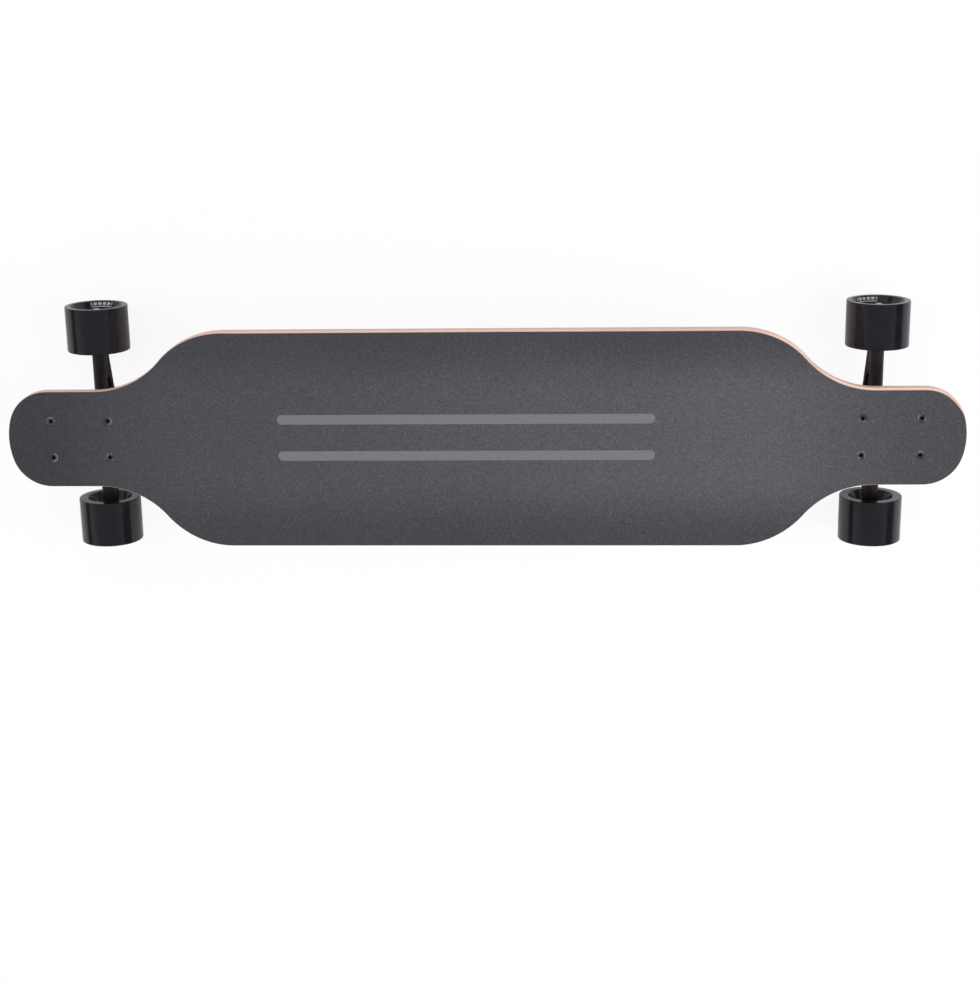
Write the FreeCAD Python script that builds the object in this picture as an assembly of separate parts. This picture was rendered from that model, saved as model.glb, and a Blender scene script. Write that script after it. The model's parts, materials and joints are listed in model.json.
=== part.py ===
import FreeCAD
import Part
import math
import os

# Longboard skateboard, millimetres. +X is the front, +Y the rider's left, +Z up.
# The wheels stand on Z = 0 and the origin is midway between the trucks.

# Deck: pressed maple, wide between the wheels and narrow beside them
deck_length = 1051.5
deck_width = 243.0
neck_width = 108.5
neck_length = 98.5
flare_length = 149.0
nose_tip_radius = 82.0
nose_corner_radius = 44.0
deck_thickness = 13.0
concave_flat_width = 110.0
concave_rise = 7.0
deck_top_round = 2.0
deck_bottom_round = 3.5

# Grip sheet on the deck's top
grip_thickness = 0.9
grip_margin = 0.2
grip_hole_clearance = 0.5

# Where the trucks sit
truck_inset = 80.75
truck_height = 61.5
axle_setback = 8.0
steering_axis_angle = 50.0

# Mounting bolts and their lock nuts
bolt_spacing_long = 63.5
bolt_spacing_across = 41.3
bolt_diameter = 4.8
bolt_head_diameter = 9.4
bolt_head_rim = 0.4
bolt_head_stand = 0.5
bolt_socket_flats = 3.2
bolt_socket_depth = 2.2
bolt_tip_stand = 2.0
bolt_clearance = 0.3
mounting_nut_flats = 9.5
mounting_nut_height = 5.8
thread_clearance = 0.05

# Baseplate casting
plate_length = 84.0
plate_width = 58.0
plate_thickness = 5.5
plate_corner_radius = 10.0
tower_width = 22.0
tower_face_offset = 11.0
tower_shoulder = 6.0
tower_end_inset = 1.5
seat_margin = 0.4
seat_boss_depth = 10.0
seat_foot_run = 7.0

# Kingpin and its nut
kingpin_diameter = 9.5
kingpin_grip = 18.0
kingpin_head_flats = 14.3
kingpin_head_height = 6.0
kingpin_nut_flats = 14.3
kingpin_nut_height = 8.0
kingpin_tip_stand = 2.5
kingpin_clearance = 0.1
kingpin_pocket_clearance = 0.4

# Bushings and cup washers
bushing_diameter = 25.0
bushing_bore_clearance = 0.3
boardside_bushing_height = 15.0
roadside_bushing_height = 13.0
roadside_bushing_tip_diameter = 19.5
bushing_edge_round = 1.2
cup_washer_thickness = 1.5
cup_washer_rim = 2.0
cup_washer_overhang = 1.8
cup_washer_clearance = 0.3

# Hanger casting
hanger_width = 196.0
ring_diameter = 38.0
ring_thickness = 12.0
ring_seat_depth = 2.0
ring_seat_clearance = 0.3
ring_bore_diameter = 17.0
ring_to_axle = 25.0
axle_rake = 6.0
arm_radius = 8.4
arm_root_offset = 18.0
arm_tail_angle = 25.0
arm_tail_length = 13.6
arm_tail_radius = 3.0
arm_end_tip_share = 0.6
arm_end_tail_share = 1.07
neck_block_width = 32.0
neck_block_shares = ((0.5, -0.5), (0.5, 0.5), (0.84, 1.1), (1.0, 1.2),
                     (1.3, 0.8), (1.3, 0.2), (1.0, -0.3))
pocket_start = 20.0
pocket_end = 55.0
pocket_floor = 0.5
pocket_wall = 2.4
pocket_tip_share = 0.5

# Pivot pin of the hanger and its cup
pivot_radius = 4.5
pivot_root_radius = 7.5
pivot_centre = 14.5
pivot_mouth = 10.5
pivot_clearance = 0.08
pivot_cup_wall = 2.5
pivot_cup_floor = 1.5
pivot_boss_wall = 2.5

# Axle and what is clamped on it
axle_diameter = 8.0
axle_tip_stand = 1.0
axle_nut_flats = 12.7
axle_nut_height = 8.0
axle_fit_clearance = 0.05
speed_washer_diameter = 11.2
speed_washer_thickness = 1.0
spacer_length = 10.0
spacer_diameter = 10.6
nut_chamfer = 0.6

# Ball bearings, eight by twenty-two by seven
bearing_outer_diameter = 22.0
bearing_width = 7.0
bearing_pitch_diameter = 15.0
bearing_ball_diameter = 3.969
bearing_ball_clearance = 0.06
bearing_ball_count = 7
bearing_inner_shoulder = 12.0
bearing_outer_shoulder = 18.0
bearing_shield_thickness = 0.4
bearing_shield_recess = 0.25
bearing_shield_seat = 0.6
bearing_shield_gap = 0.4
cage_thickness = 1.8
cage_width = 4.6
cage_pocket_clearance = 0.1

# Wheel: cast urethane on a moulded core set nearer the inner face
wheel_diameter = 70.0
wheel_width = 51.0
wheel_overlap = 11.7
wheel_lip_round = 1.2
inner_mouth_diameter = 50.0
outer_mouth_diameter = 58.0
core_diameter = 38.0
core_lip = 0.5
core_web_diameter = 18.0
core_shoulder = 1.0

# How far cutters run past what they cut, and how squarely a face or edge has to point
overrun = 5.0
facing_share = 0.5

# Levels and places worked out from the sizes above
truck_spacing = deck_length - 2 * truck_inset
axle_z = wheel_diameter / 2
deck_bottom_z = axle_z + truck_height
deck_top_z = deck_bottom_z + deck_thickness
ring_web = ring_thickness - 2 * ring_seat_depth
seat_offset = ring_web / 2 + boardside_bushing_height + cup_washer_thickness
seat_radius = bushing_diameter / 2 + cup_washer_clearance + cup_washer_overhang + seat_margin
steer_angle = math.radians(steering_axis_angle)
to_pivot = FreeCAD.Vector(-math.cos(steer_angle), 0, -math.sin(steer_angle))
to_road = FreeCAD.Vector(math.sin(steer_angle), 0, -math.cos(steer_angle))
across = FreeCAD.Vector(0, 1, 0)
up = FreeCAD.Vector(0, 0, 1)
axle_centre = FreeCAD.Vector(-axle_setback, 0, axle_z)
ring_centre = axle_centre - to_pivot * ring_to_axle - to_road * axle_rake


def on_truck(toward_pivot, toward_road, sideways=0.0):
    """Point in one truck's own frame, measured from the hanger ring's centre."""
    return ring_centre + to_pivot * toward_pivot + to_road * toward_road + across * sideways


def tube(outer_radius, inner_radius, length, start, direction):
    """Round tube from start along direction."""
    outside = Part.makeCylinder(outer_radius, length, start, direction)
    return outside.cut(Part.makeCylinder(inner_radius, length, start, direction))


def turned(profile, start, direction):
    """Solid of revolution: profile points are (radius, distance along direction)."""
    points = [FreeCAD.Vector(radius, 0, station) for radius, station in profile]
    face = Part.Face(Part.makePolygon(points + points[:1]))
    solid = face.revolve(FreeCAD.Vector(0, 0, 0), up, 360)
    solid.Placement = FreeCAD.Placement(start, FreeCAD.Rotation(up, direction))
    return solid


def hex_prism(flats, length, start, direction):
    """Hexagonal bar from start along direction, two of its flats facing across the board."""
    corner_radius = flats / math.sqrt(3)
    corners = []
    for turn in range(6):
        angle = math.radians(60 * turn)
        corners.append(FreeCAD.Vector(corner_radius * math.cos(angle), corner_radius * math.sin(angle), 0))
    prism = Part.Face(Part.makePolygon(corners + corners[:1])).extrude(up * length)
    prism.Placement = FreeCAD.Placement(start, FreeCAD.Rotation(up, direction))
    return prism


def lock_nut(flats, height, bore_radius, start, direction):
    """Hexagonal nut, its outer end chamfered round, threaded on from start."""
    blank = hex_prism(flats, height, start, direction)
    corner_radius = flats / math.sqrt(3)
    cone = turned([(0, 0), (corner_radius, 0), (corner_radius, height - nut_chamfer),
                   (corner_radius - 2 * nut_chamfer, height), (0, height)], start, direction)
    return blank.common(cone).cut(Part.makeCylinder(bore_radius, height, start, direction))


def arc(first, middle, last):
    """Circular edge through three points."""
    return Part.Arc(first, middle, last).toShape()


def arc_about(centre, radius, start_angle, end_angle):
    """Circular edge about centre in a level plane, angles in radians."""
    angles = (start_angle, (start_angle + end_angle) / 2, end_angle)
    points = [centre + FreeCAD.Vector(radius * math.cos(a), radius * math.sin(a), 0) for a in angles]
    return arc(*points)


def deck_outline():
    """Face of the deck's plan outline at Z = 0, made from one quarter and its mirror images."""
    half_length = deck_length / 2
    half_width = deck_width / 2
    half_neck = neck_width / 2
    tip_centre = FreeCAD.Vector(half_length - nose_tip_radius, 0, 0)
    reach = nose_tip_radius - nose_corner_radius
    side = half_neck - nose_corner_radius
    corner_centre = tip_centre + FreeCAD.Vector(math.sqrt(reach ** 2 - side ** 2), side, 0)
    corner_angle = math.asin(side / reach)
    neck_start = FreeCAD.Vector(corner_centre.x, half_neck, 0)
    flare_start = FreeCAD.Vector(half_length - neck_length, half_neck, 0)
    flare_end = FreeCAD.Vector(flare_start.x - flare_length, half_width, 0)
    flare_turn = 2 * math.atan((half_width - half_neck) / flare_length)
    flare_radius = flare_length / (2 * math.sin(flare_turn))
    low_centre = flare_start + across * flare_radius
    high_centre = flare_end - across * flare_radius
    quarter = [
        arc_about(tip_centre, nose_tip_radius, 0, corner_angle),
        arc_about(corner_centre, nose_corner_radius, corner_angle, math.pi / 2),
        Part.LineSegment(neck_start, flare_start).toShape(),
        arc_about(low_centre, flare_radius, -math.pi / 2, -math.pi / 2 - flare_turn),
        arc_about(high_centre, flare_radius, math.pi / 2 - flare_turn, math.pi / 2),
        Part.LineSegment(flare_end, FreeCAD.Vector(0, half_width, 0)).toShape(),
    ]
    origin = FreeCAD.Vector(0, 0, 0)
    half = quarter + [edge.mirror(origin, FreeCAD.Vector(1, 0, 0)) for edge in quarter]
    edges = half + [edge.mirror(origin, across) for edge in half]
    return Part.Face(Part.Wire(Part.__sortEdges__(edges)))


def pressed_sheet(low, high):
    """Sheet the length of the deck, between two heights above the deck's curved top surface."""
    half_flat = concave_flat_width / 2
    reach = deck_width / 2 - half_flat
    radius = (reach ** 2 + concave_rise ** 2) / (2 * concave_rise)
    end_angle = math.asin((reach + overrun) / radius)

    def edge_points(height):
        bend = radius - height
        points = []
        for angle in (0, end_angle / 2, end_angle):
            offset = FreeCAD.Vector(0, half_flat + bend * math.sin(angle), radius - bend * math.cos(angle))
            points.append(offset)
        return points

    def mirrored(points):
        return [FreeCAD.Vector(0, -point.y, point.z) for point in points]

    top = edge_points(high)
    bottom = edge_points(low)
    edges = [
        arc(*top),
        Part.LineSegment(top[2], bottom[2]).toShape(),
        arc(*bottom),
        Part.LineSegment(bottom[0], mirrored(bottom)[0]).toShape(),
        arc(*mirrored(bottom)),
        Part.LineSegment(mirrored(bottom)[2], mirrored(top)[2]).toShape(),
        arc(*mirrored(top)),
        Part.LineSegment(mirrored(top)[0], top[0]).toShape(),
    ]
    section = Part.Face(Part.Wire(Part.__sortEdges__(edges)))
    section.translate(FreeCAD.Vector(-deck_length / 2 - overrun, 0, deck_top_z))
    return section.extrude(FreeCAD.Vector(deck_length + 2 * overrun, 0, 0))


def bolt_places():
    """Bolt axes of one truck at the deck's top, in the truck's frame."""
    places = []
    for along in (-bolt_spacing_long / 2, bolt_spacing_long / 2):
        for aside in (-bolt_spacing_across / 2, bolt_spacing_across / 2):
            places.append(FreeCAD.Vector(along, aside, deck_top_z))
    return places


def bolt_shape(place, head_radius, shank_radius, length, rise):
    """Countersunk bolt whose head stands the given rise above the deck's top."""
    cone_depth = head_radius - shank_radius
    profile = [(0, 0), (head_radius, 0), (head_radius, bolt_head_rim + rise),
               (shank_radius, bolt_head_rim + rise + cone_depth), (shank_radius, length), (0, length)]
    return turned(profile, place + up * rise, -up)


def deck():
    """Deck solid with its rounded edges and countersunk bolt holes."""
    height = deck_thickness + concave_rise
    blank = deck_outline().extrude(up * (2 * height))
    blank.translate(up * (deck_bottom_z - height / 2))
    board = pressed_sheet(-deck_thickness, 0).common(blank)
    board = board.makeFillet(deck_bottom_round, rim_edges(board, -up))
    board = board.makeFillet(deck_top_round, rim_edges(board, up))
    head_radius = bolt_head_diameter / 2 + bolt_clearance
    shank_radius = bolt_diameter / 2 + bolt_clearance
    for end in ("front", "rear"):
        for place in bolt_places():
            hole = bolt_shape(place, head_radius, shank_radius, deck_thickness + 2 * overrun, overrun)
            board = board.cut(on_board(hole, end))
    return board


def middle_of(face):
    """Middle of a face's parameter range."""
    u_low, u_high, v_low, v_high = face.ParameterRange
    return (u_low + u_high) / 2, (v_low + v_high) / 2


def rim_edges(board, facing):
    """Edges round the outside of all the board's faces that look the given way."""
    edges = []
    for face in board.Faces:
        if face.normalAt(*middle_of(face)).dot(facing) > facing_share:
            edges.extend(face.Edges)
    return [edge for edge in edges if sum(1 for other in edges if other.isSame(edge)) == 1]


def grip_tape():
    """Abrasive sheet with a round hole over each bolt head."""
    face = deck_outline().makeOffset2D(-deck_top_round - grip_margin)
    height = concave_rise + grip_thickness
    blank = face.extrude(up * (2 * height))
    blank.translate(up * (deck_top_z - height / 2))
    sheet = pressed_sheet(0, grip_thickness).common(blank)
    hole_radius = bolt_head_diameter / 2 + grip_hole_clearance
    for end in ("front", "rear"):
        for place in bolt_places():
            hole = Part.makeCylinder(hole_radius, 2 * height, place - up * height, up)
            sheet = sheet.cut(on_board(hole, end))
    return sheet


def mounting_bolts():
    """Four bolts of one truck, hex sockets in their heads."""
    length = bolt_head_stand + deck_thickness + plate_thickness + mounting_nut_height + bolt_tip_stand
    bolts = []
    for place in bolt_places():
        bolt = bolt_shape(place, bolt_head_diameter / 2, bolt_diameter / 2, length, bolt_head_stand)
        socket_top = place + up * (bolt_head_stand + overrun)
        socket = hex_prism(bolt_socket_flats, bolt_socket_depth + overrun, socket_top, -up)
        bolts.append(bolt.cut(socket))
    return bolts


def mounting_nuts():
    """Four lock nuts under the baseplate's corners."""
    drop = up * (deck_thickness + plate_thickness)
    radius = bolt_diameter / 2 + thread_clearance
    return [lock_nut(mounting_nut_flats, mounting_nut_height, radius, place - drop, -up)
            for place in bolt_places()]


def baseplate():
    """Plate with four bolt holes, the slanted kingpin seat and the tower that holds the pivot cup."""
    corner = FreeCAD.Vector(-plate_length / 2, -plate_width / 2, deck_bottom_z - plate_thickness)
    plate = Part.makeBox(plate_length, plate_width, plate_thickness, corner)
    uprights = [edge for edge in plate.Edges if abs(edge.tangentAt(edge.FirstParameter).z) > facing_share]
    plate = plate.makeFillet(plate_corner_radius, uprights)

    seat_outer = on_truck(-seat_radius, -seat_offset)
    mouth = ring_to_axle + pivot_mouth
    cup_end = ring_to_axle + pivot_centre + pivot_radius + pivot_cup_floor + pivot_boss_wall
    tower_end_x = -plate_length / 2 + tower_end_inset
    plate_under_z = deck_bottom_z - plate_thickness
    side_view = [
        FreeCAD.Vector(tower_end_x, 0, plate_under_z),
        FreeCAD.Vector(seat_outer.x + seat_foot_run, 0, plate_under_z),
        seat_outer,
        on_truck(seat_radius, -seat_offset),
        on_truck(seat_radius + tower_shoulder, -tower_face_offset),
        on_truck(mouth, -tower_face_offset),
        on_truck(mouth + pivot_radius, 0),
        on_truck(cup_end, -tower_face_offset / 2),
    ]
    tower = Part.Face(Part.makePolygon(side_view + side_view[:1])).extrude(across * tower_width)
    tower.translate(across * (-tower_width / 2))

    boss_radius = pivot_radius + pivot_clearance + pivot_cup_wall + pivot_boss_wall
    boss_length = cup_end - mouth
    boss = Part.makeCylinder(boss_radius, boss_length, on_truck(mouth, 0), to_pivot)
    boss = boss.makeFillet(boss_radius - pivot_radius, far_rim(boss, cup_end))
    seat_start = on_truck(0, -seat_offset)
    seat_boss = Part.makeCylinder(seat_radius, seat_boss_depth, seat_start, -to_road)

    casting = plate.fuse([tower, boss, seat_boss])
    top_trim = Part.makeBox(2 * plate_length, 2 * plate_width, truck_height,
                            FreeCAD.Vector(-plate_length, -plate_width, deck_bottom_z))
    cup_depth = cup_end - pivot_boss_wall - mouth
    cup_radius = pivot_radius + pivot_clearance + pivot_cup_wall
    kingpin_radius = kingpin_diameter / 2 + kingpin_clearance
    kingpin_hole = Part.makeCylinder(kingpin_radius, kingpin_grip, seat_start, -to_road)
    head_pocket = hex_prism(kingpin_head_flats + 2 * kingpin_pocket_clearance, truck_height,
                            on_truck(0, -seat_offset - kingpin_grip), -to_road)
    cuts = [top_trim, kingpin_hole, head_pocket,
            Part.makeCylinder(cup_radius, cup_depth, on_truck(mouth, 0), to_pivot)]
    for place in bolt_places():
        cuts.append(Part.makeCylinder(bolt_diameter / 2 + bolt_clearance, truck_height, place, -up))
    return casting.cut(cuts).removeSplitter()


def far_rim(boss, cup_end):
    """Edge round the boss's closed end."""
    end_point = on_truck(cup_end, 0)
    return [edge for edge in boss.Edges
            if edge.isClosed() and edge.Curve.Center.distanceToPoint(end_point) < pivot_boss_wall]


def pivot_cup():
    """Urethane cup with a round-bottomed bore for the pivot pin."""
    mouth = ring_to_axle + pivot_mouth
    bore_radius = pivot_radius + pivot_clearance
    depth = pivot_centre - pivot_mouth
    length = depth + pivot_radius + pivot_cup_floor
    body = Part.makeCylinder(bore_radius + pivot_cup_wall, length, on_truck(mouth, 0), to_pivot)
    bore = Part.makeCylinder(bore_radius, depth, on_truck(mouth, 0), to_pivot)
    bottom = Part.makeSphere(bore_radius, on_truck(mouth + depth, 0))
    return body.cut([bore, bottom])


def kingpin():
    """Hex-headed bolt from its pocket in the baseplate to past its nut."""
    under_head = on_truck(0, -seat_offset - kingpin_grip)
    length = kingpin_grip + seat_offset + road_stack() + kingpin_nut_height + kingpin_tip_stand
    head = hex_prism(kingpin_head_flats, kingpin_head_height, under_head, -to_road)
    shank = Part.makeCylinder(kingpin_diameter / 2, length, under_head, to_road)
    tip = [edge for edge in shank.Edges if edge.isClosed()
           and edge.Curve.Center.distanceToPoint(under_head) > kingpin_grip]
    return head.fuse(shank.makeChamfer(nut_chamfer, tip)).removeSplitter()


def road_stack():
    """Distance from the hanger ring's centre to the kingpin nut's inner face."""
    return ring_web / 2 + roadside_bushing_height + cup_washer_thickness


def kingpin_nut():
    """Lock nut that holds the bushing stack together."""
    radius = kingpin_diameter / 2 + thread_clearance
    return lock_nut(kingpin_nut_flats, kingpin_nut_height, radius, on_truck(0, road_stack()), to_road)


def bushing(near_diameter, far_diameter, height, start, direction):
    """Urethane bushing: tapered or straight, edges rounded, bored for the kingpin."""
    profile = [(0, 0), (near_diameter / 2, 0), (far_diameter / 2, height), (0, height)]
    body = turned(profile, start, direction)
    body = body.makeFillet(bushing_edge_round, [edge for edge in body.Edges if edge.isClosed()])
    bore_radius = kingpin_diameter / 2 + bushing_bore_clearance
    return body.cut(Part.makeCylinder(bore_radius, height, start, direction))


def boardside_bushing():
    """Barrel between the baseplate's seat and the hanger ring."""
    start = on_truck(0, -ring_web / 2)
    return bushing(bushing_diameter, bushing_diameter, boardside_bushing_height, start, -to_road)


def roadside_bushing():
    """Cone between the hanger ring and the nut's washer."""
    start = on_truck(0, ring_web / 2)
    return bushing(bushing_diameter, roadside_bushing_tip_diameter, roadside_bushing_height, start, to_road)


def cup_washer(cupped_diameter, back, direction):
    """Pressed washer whose rim turns along direction over the bushing it holds."""
    inner = cupped_diameter / 2 + cup_washer_clearance
    outer = inner + cup_washer_overhang
    bore_radius = kingpin_diameter / 2 + kingpin_clearance
    profile = [(bore_radius, 0), (outer - cup_washer_thickness / 2, 0), (outer, cup_washer_thickness / 2),
               (outer, cup_washer_thickness + cup_washer_rim), (inner, cup_washer_thickness + cup_washer_rim),
               (inner, cup_washer_thickness), (bore_radius, cup_washer_thickness)]
    return turned(profile, back, direction)


def boardside_washer():
    """Wide cup washer on the baseplate's seat."""
    return cup_washer(bushing_diameter, on_truck(0, -seat_offset), to_road)


def roadside_washer():
    """Small cup washer under the kingpin nut, its rim over the bushing's taper."""
    taper = (bushing_diameter - roadside_bushing_tip_diameter) / roadside_bushing_height
    cupped_diameter = roadside_bushing_tip_diameter + taper * cup_washer_rim
    return cup_washer(cupped_diameter, on_truck(0, road_stack()), -to_road)


def arm_section(sideways, tip_radius, tail):
    """Drop-shaped section of a hanger arm: round about the axle, with a tail towards the board's middle."""
    slope = math.radians(arm_tail_angle)
    outward = FreeCAD.Vector(-math.cos(slope), 0, -math.sin(slope))
    upward = FreeCAD.Vector(-math.sin(slope), 0, math.cos(slope))
    centre = axle_centre + across * sideways
    tip_centre = centre + outward * tail
    lean = math.asin((arm_radius - tip_radius) / tail)
    upper = outward * math.sin(lean) + upward * math.cos(lean)
    lower = outward * math.sin(lean) - upward * math.cos(lean)
    upper_root = centre + upper * arm_radius
    lower_root = centre + lower * arm_radius
    upper_tip = tip_centre + upper * tip_radius
    lower_tip = tip_centre + lower * tip_radius
    edges = [
        arc(lower_root, centre - outward * arm_radius, upper_root),
        Part.LineSegment(upper_root, upper_tip).toShape(),
        arc(upper_tip, tip_centre + outward * tip_radius, lower_tip),
        Part.LineSegment(lower_tip, lower_root).toShape(),
    ]
    return Part.Wire(edges)


def arm():
    """Hanger arm on the +Y side, its tail dying out at the wheel, with a pocket cast in its upper face."""
    end_tip = arm_radius * arm_end_tip_share
    end_tail = (arm_radius - end_tip) * arm_end_tail_share
    root = arm_section(arm_root_offset, arm_tail_radius, arm_tail_length)
    end = arm_section(hanger_width / 2, end_tip, end_tail)
    body = Part.makeLoft([root, end], True, True)
    slope = math.radians(arm_tail_angle)
    outward = FreeCAD.Vector(-math.cos(slope), 0, -math.sin(slope))
    upward = FreeCAD.Vector(-math.sin(slope), 0, math.cos(slope))
    near = axle_diameter / 2 + pocket_wall
    far = arm_tail_length
    floor = axle_centre + upward * pocket_floor
    corners = [
        floor + outward * near + across * pocket_start,
        floor + outward * far + across * pocket_start,
        floor + outward * (near + (far - near) * pocket_tip_share / 2) + across * pocket_end,
        floor + outward * near + across * pocket_end,
    ]
    pocket = Part.Face(Part.makePolygon(corners + corners[:1])).extrude(upward * (2 * arm_radius))
    return body.cut(pocket)


def hanger():
    """One casting: two arms, the middle block, the bushing ring and the pivot pin."""
    left_arm = arm()
    right_arm = left_arm.mirror(FreeCAD.Vector(0, 0, 0), across)
    middle_start = axle_centre - across * arm_root_offset
    middle = Part.makeCylinder(arm_radius, 2 * arm_root_offset, middle_start, across)
    half_block = neck_block_width / 2
    corners = [on_truck(ring_to_axle * along, ring_thickness * aside, -half_block)
               for along, aside in neck_block_shares]
    block = Part.Face(Part.makePolygon(corners + corners[:1])).extrude(across * neck_block_width)
    ring = Part.makeCylinder(ring_diameter / 2, ring_thickness, on_truck(0, -ring_thickness / 2), to_road)
    pin_start = ring_to_axle
    pin_profile = [(0, 0), (pivot_root_radius, 0), (pivot_root_radius, pivot_mouth - pivot_radius / 2),
                   (pivot_radius, pivot_mouth - pivot_cup_wall / 2), (pivot_radius, pivot_centre),
                   (0, pivot_centre)]
    pin = turned(pin_profile, on_truck(pin_start, 0), to_pivot)
    tip = Part.makeSphere(pivot_radius, on_truck(pin_start + pivot_centre, 0))
    casting = middle.fuse([left_arm, right_arm, block, ring, pin, tip])

    seat_radius_in_ring = bushing_diameter / 2 + ring_seat_clearance
    reach = roadside_bushing_height + boardside_bushing_height
    cuts = [
        Part.makeCylinder(ring_bore_diameter / 2, 2 * ring_thickness, on_truck(0, -ring_thickness), to_road),
        Part.makeCylinder(seat_radius_in_ring, reach, on_truck(0, ring_web / 2), to_road),
        Part.makeCylinder(seat_radius_in_ring, reach, on_truck(0, -ring_web / 2), -to_road),
        Part.makeCylinder(axle_diameter / 2 + axle_fit_clearance, 2 * hanger_width,
                          axle_centre - across * hanger_width, across),
    ]
    return casting.cut(cuts).removeSplitter()


# Stations along the axle on the +Y side, outward from the hanger's end
inner_bearing_y = hanger_width / 2 + speed_washer_thickness
outer_bearing_y = inner_bearing_y + bearing_width + spacer_length
outer_washer_y = outer_bearing_y + bearing_width
axle_nut_y = outer_washer_y + speed_washer_thickness
wheel_inner_y = hanger_width / 2 - wheel_overlap
core_start_y = inner_bearing_y - core_lip
core_end_y = outer_washer_y + core_lip
axle_end_y = axle_nut_y + axle_nut_height + axle_tip_stand


def on_axle(sideways):
    """Point on the axle's axis."""
    return axle_centre + across * sideways


def axle():
    """Steel rod through the hanger, both ends chamfered."""
    rod = Part.makeCylinder(axle_diameter / 2, 2 * axle_end_y, on_axle(-axle_end_y), across)
    return rod.makeChamfer(nut_chamfer, [edge for edge in rod.Edges if edge.isClosed()])


def axle_nut():
    """Lock nut on the axle's +Y end."""
    return lock_nut(axle_nut_flats, axle_nut_height, axle_diameter / 2 + thread_clearance,
                    on_axle(axle_nut_y), across)


def speed_washers():
    """Washers either side of one wheel's bearings."""
    bore = axle_diameter / 2 + axle_fit_clearance
    return [tube(speed_washer_diameter / 2, bore, speed_washer_thickness, on_axle(start), across)
            for start in (hanger_width / 2, outer_washer_y)]


def bearing_spacer():
    """Tube that keeps the two inner rings apart."""
    bore = axle_diameter / 2 + axle_fit_clearance
    return tube(spacer_diameter / 2, bore, spacer_length, on_axle(inner_bearing_y + bearing_width), across)


def bearing_starts():
    """Inner faces of one wheel's two bearings."""
    return (inner_bearing_y, outer_bearing_y)


def ball_groove(start):
    """Ring-shaped cutter for the ball track of a bearing."""
    radius = bearing_ball_diameter / 2 + bearing_ball_clearance
    return Part.makeTorus(bearing_pitch_diameter / 2, radius, on_axle(start + bearing_width / 2), across)


def inner_rings():
    """Inner races of one wheel."""
    outer = bearing_inner_shoulder / 2
    bore = axle_diameter / 2 + axle_fit_clearance
    return [tube(outer, bore, bearing_width, on_axle(start), across).cut(ball_groove(start))
            for start in bearing_starts()]


def shield_stations(start):
    """Inner-end positions of a bearing's two shields."""
    far = start + bearing_width - bearing_shield_recess - bearing_shield_thickness
    return (start + bearing_shield_recess, far)


def outer_rings():
    """Outer races of one wheel, stepped at both faces for the shields."""
    rings = []
    outer = bearing_outer_diameter / 2
    inner = bearing_outer_shoulder / 2
    seat_radius_of_shield = inner + bearing_shield_seat
    seat_depth = bearing_shield_recess + bearing_shield_thickness
    for start in bearing_starts():
        ring = tube(outer, inner, bearing_width, on_axle(start), across)
        far_seat = on_axle(start + bearing_width - seat_depth)
        seats = [Part.makeCylinder(seat_radius_of_shield, seat_depth, on_axle(start), across),
                 Part.makeCylinder(seat_radius_of_shield, seat_depth, far_seat, across)]
        rings.append(ring.cut(seats + [ball_groove(start)]))
    return rings


def shields():
    """Pressed steel shields of one wheel's bearings."""
    outer = bearing_outer_shoulder / 2 + bearing_shield_seat - thread_clearance
    inner = bearing_inner_shoulder / 2 + bearing_shield_gap
    plates = []
    for start in bearing_starts():
        for station in shield_stations(start):
            plates.append(tube(outer, inner, bearing_shield_thickness, on_axle(station), across))
    return plates


def ball_directions():
    """Unit directions of the balls about the axle."""
    turns = [2 * math.pi * index / bearing_ball_count for index in range(bearing_ball_count)]
    return [FreeCAD.Vector(math.cos(turn), 0, math.sin(turn)) for turn in turns]


def balls():
    """Steel balls of one wheel's bearings."""
    spheres = []
    for start in bearing_starts():
        centre = on_axle(start + bearing_width / 2)
        for direction in ball_directions():
            place = centre + direction * (bearing_pitch_diameter / 2)
            spheres.append(Part.makeSphere(bearing_ball_diameter / 2, place))
    return spheres


def cages():
    """Cage rings of one wheel's bearings, with a round pocket for each ball."""
    rings = []
    middle_radius = bearing_pitch_diameter / 2
    pocket_radius = bearing_ball_diameter / 2 + cage_pocket_clearance
    for start in bearing_starts():
        centre = on_axle(start + bearing_width / 2)
        ring = tube(middle_radius + cage_thickness / 2, middle_radius - cage_thickness / 2, cage_width,
                    centre - across * (cage_width / 2), across)
        pockets = [Part.makeCylinder(pocket_radius, bearing_outer_diameter, centre, direction)
                   for direction in ball_directions()]
        rings.append(ring.cut(pockets))
    return rings


def core():
    """Moulded hub: two bearing seats with a web between them."""
    width = core_end_y - core_start_y
    blank = tube(core_diameter / 2, core_web_diameter / 2, width, on_axle(core_start_y), across)
    seat_radius_in_core = bearing_outer_diameter / 2
    seat_depth = bearing_width + core_lip
    seats = [Part.makeCylinder(seat_radius_in_core, seat_depth, on_axle(start), across)
             for start in (core_start_y, outer_bearing_y)]
    return blank.cut(seats)


def tyre():
    """Urethane wheel: square-lipped tread, dished on both faces, cast round the core."""
    outer = wheel_diameter / 2
    hub = core_diameter / 2
    core_start = core_start_y - wheel_inner_y
    core_end = core_end_y - wheel_inner_y
    shoulder = hub + core_shoulder
    profile = [(hub, core_start), (shoulder, core_start), (inner_mouth_diameter / 2, 0), (outer, 0),
               (outer, wheel_width), (outer_mouth_diameter / 2, wheel_width), (shoulder, core_end),
               (hub, core_end)]
    body = turned(profile, on_axle(wheel_inner_y), across)
    lips = [edge for edge in body.Edges if edge.isClosed() and edge.Curve.Radius > shoulder + core_lip]
    return body.makeFillet(wheel_lip_round, lips)


def on_board(shape, end):
    """Copy of a shape in one truck's frame, moved to the front or turned round to the rear."""
    placed = shape.copy()
    placed.translate(FreeCAD.Vector(truck_spacing / 2, 0, 0))
    if end == "rear":
        placed.rotate(FreeCAD.Vector(0, 0, 0), up, 180)
    return placed


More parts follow.
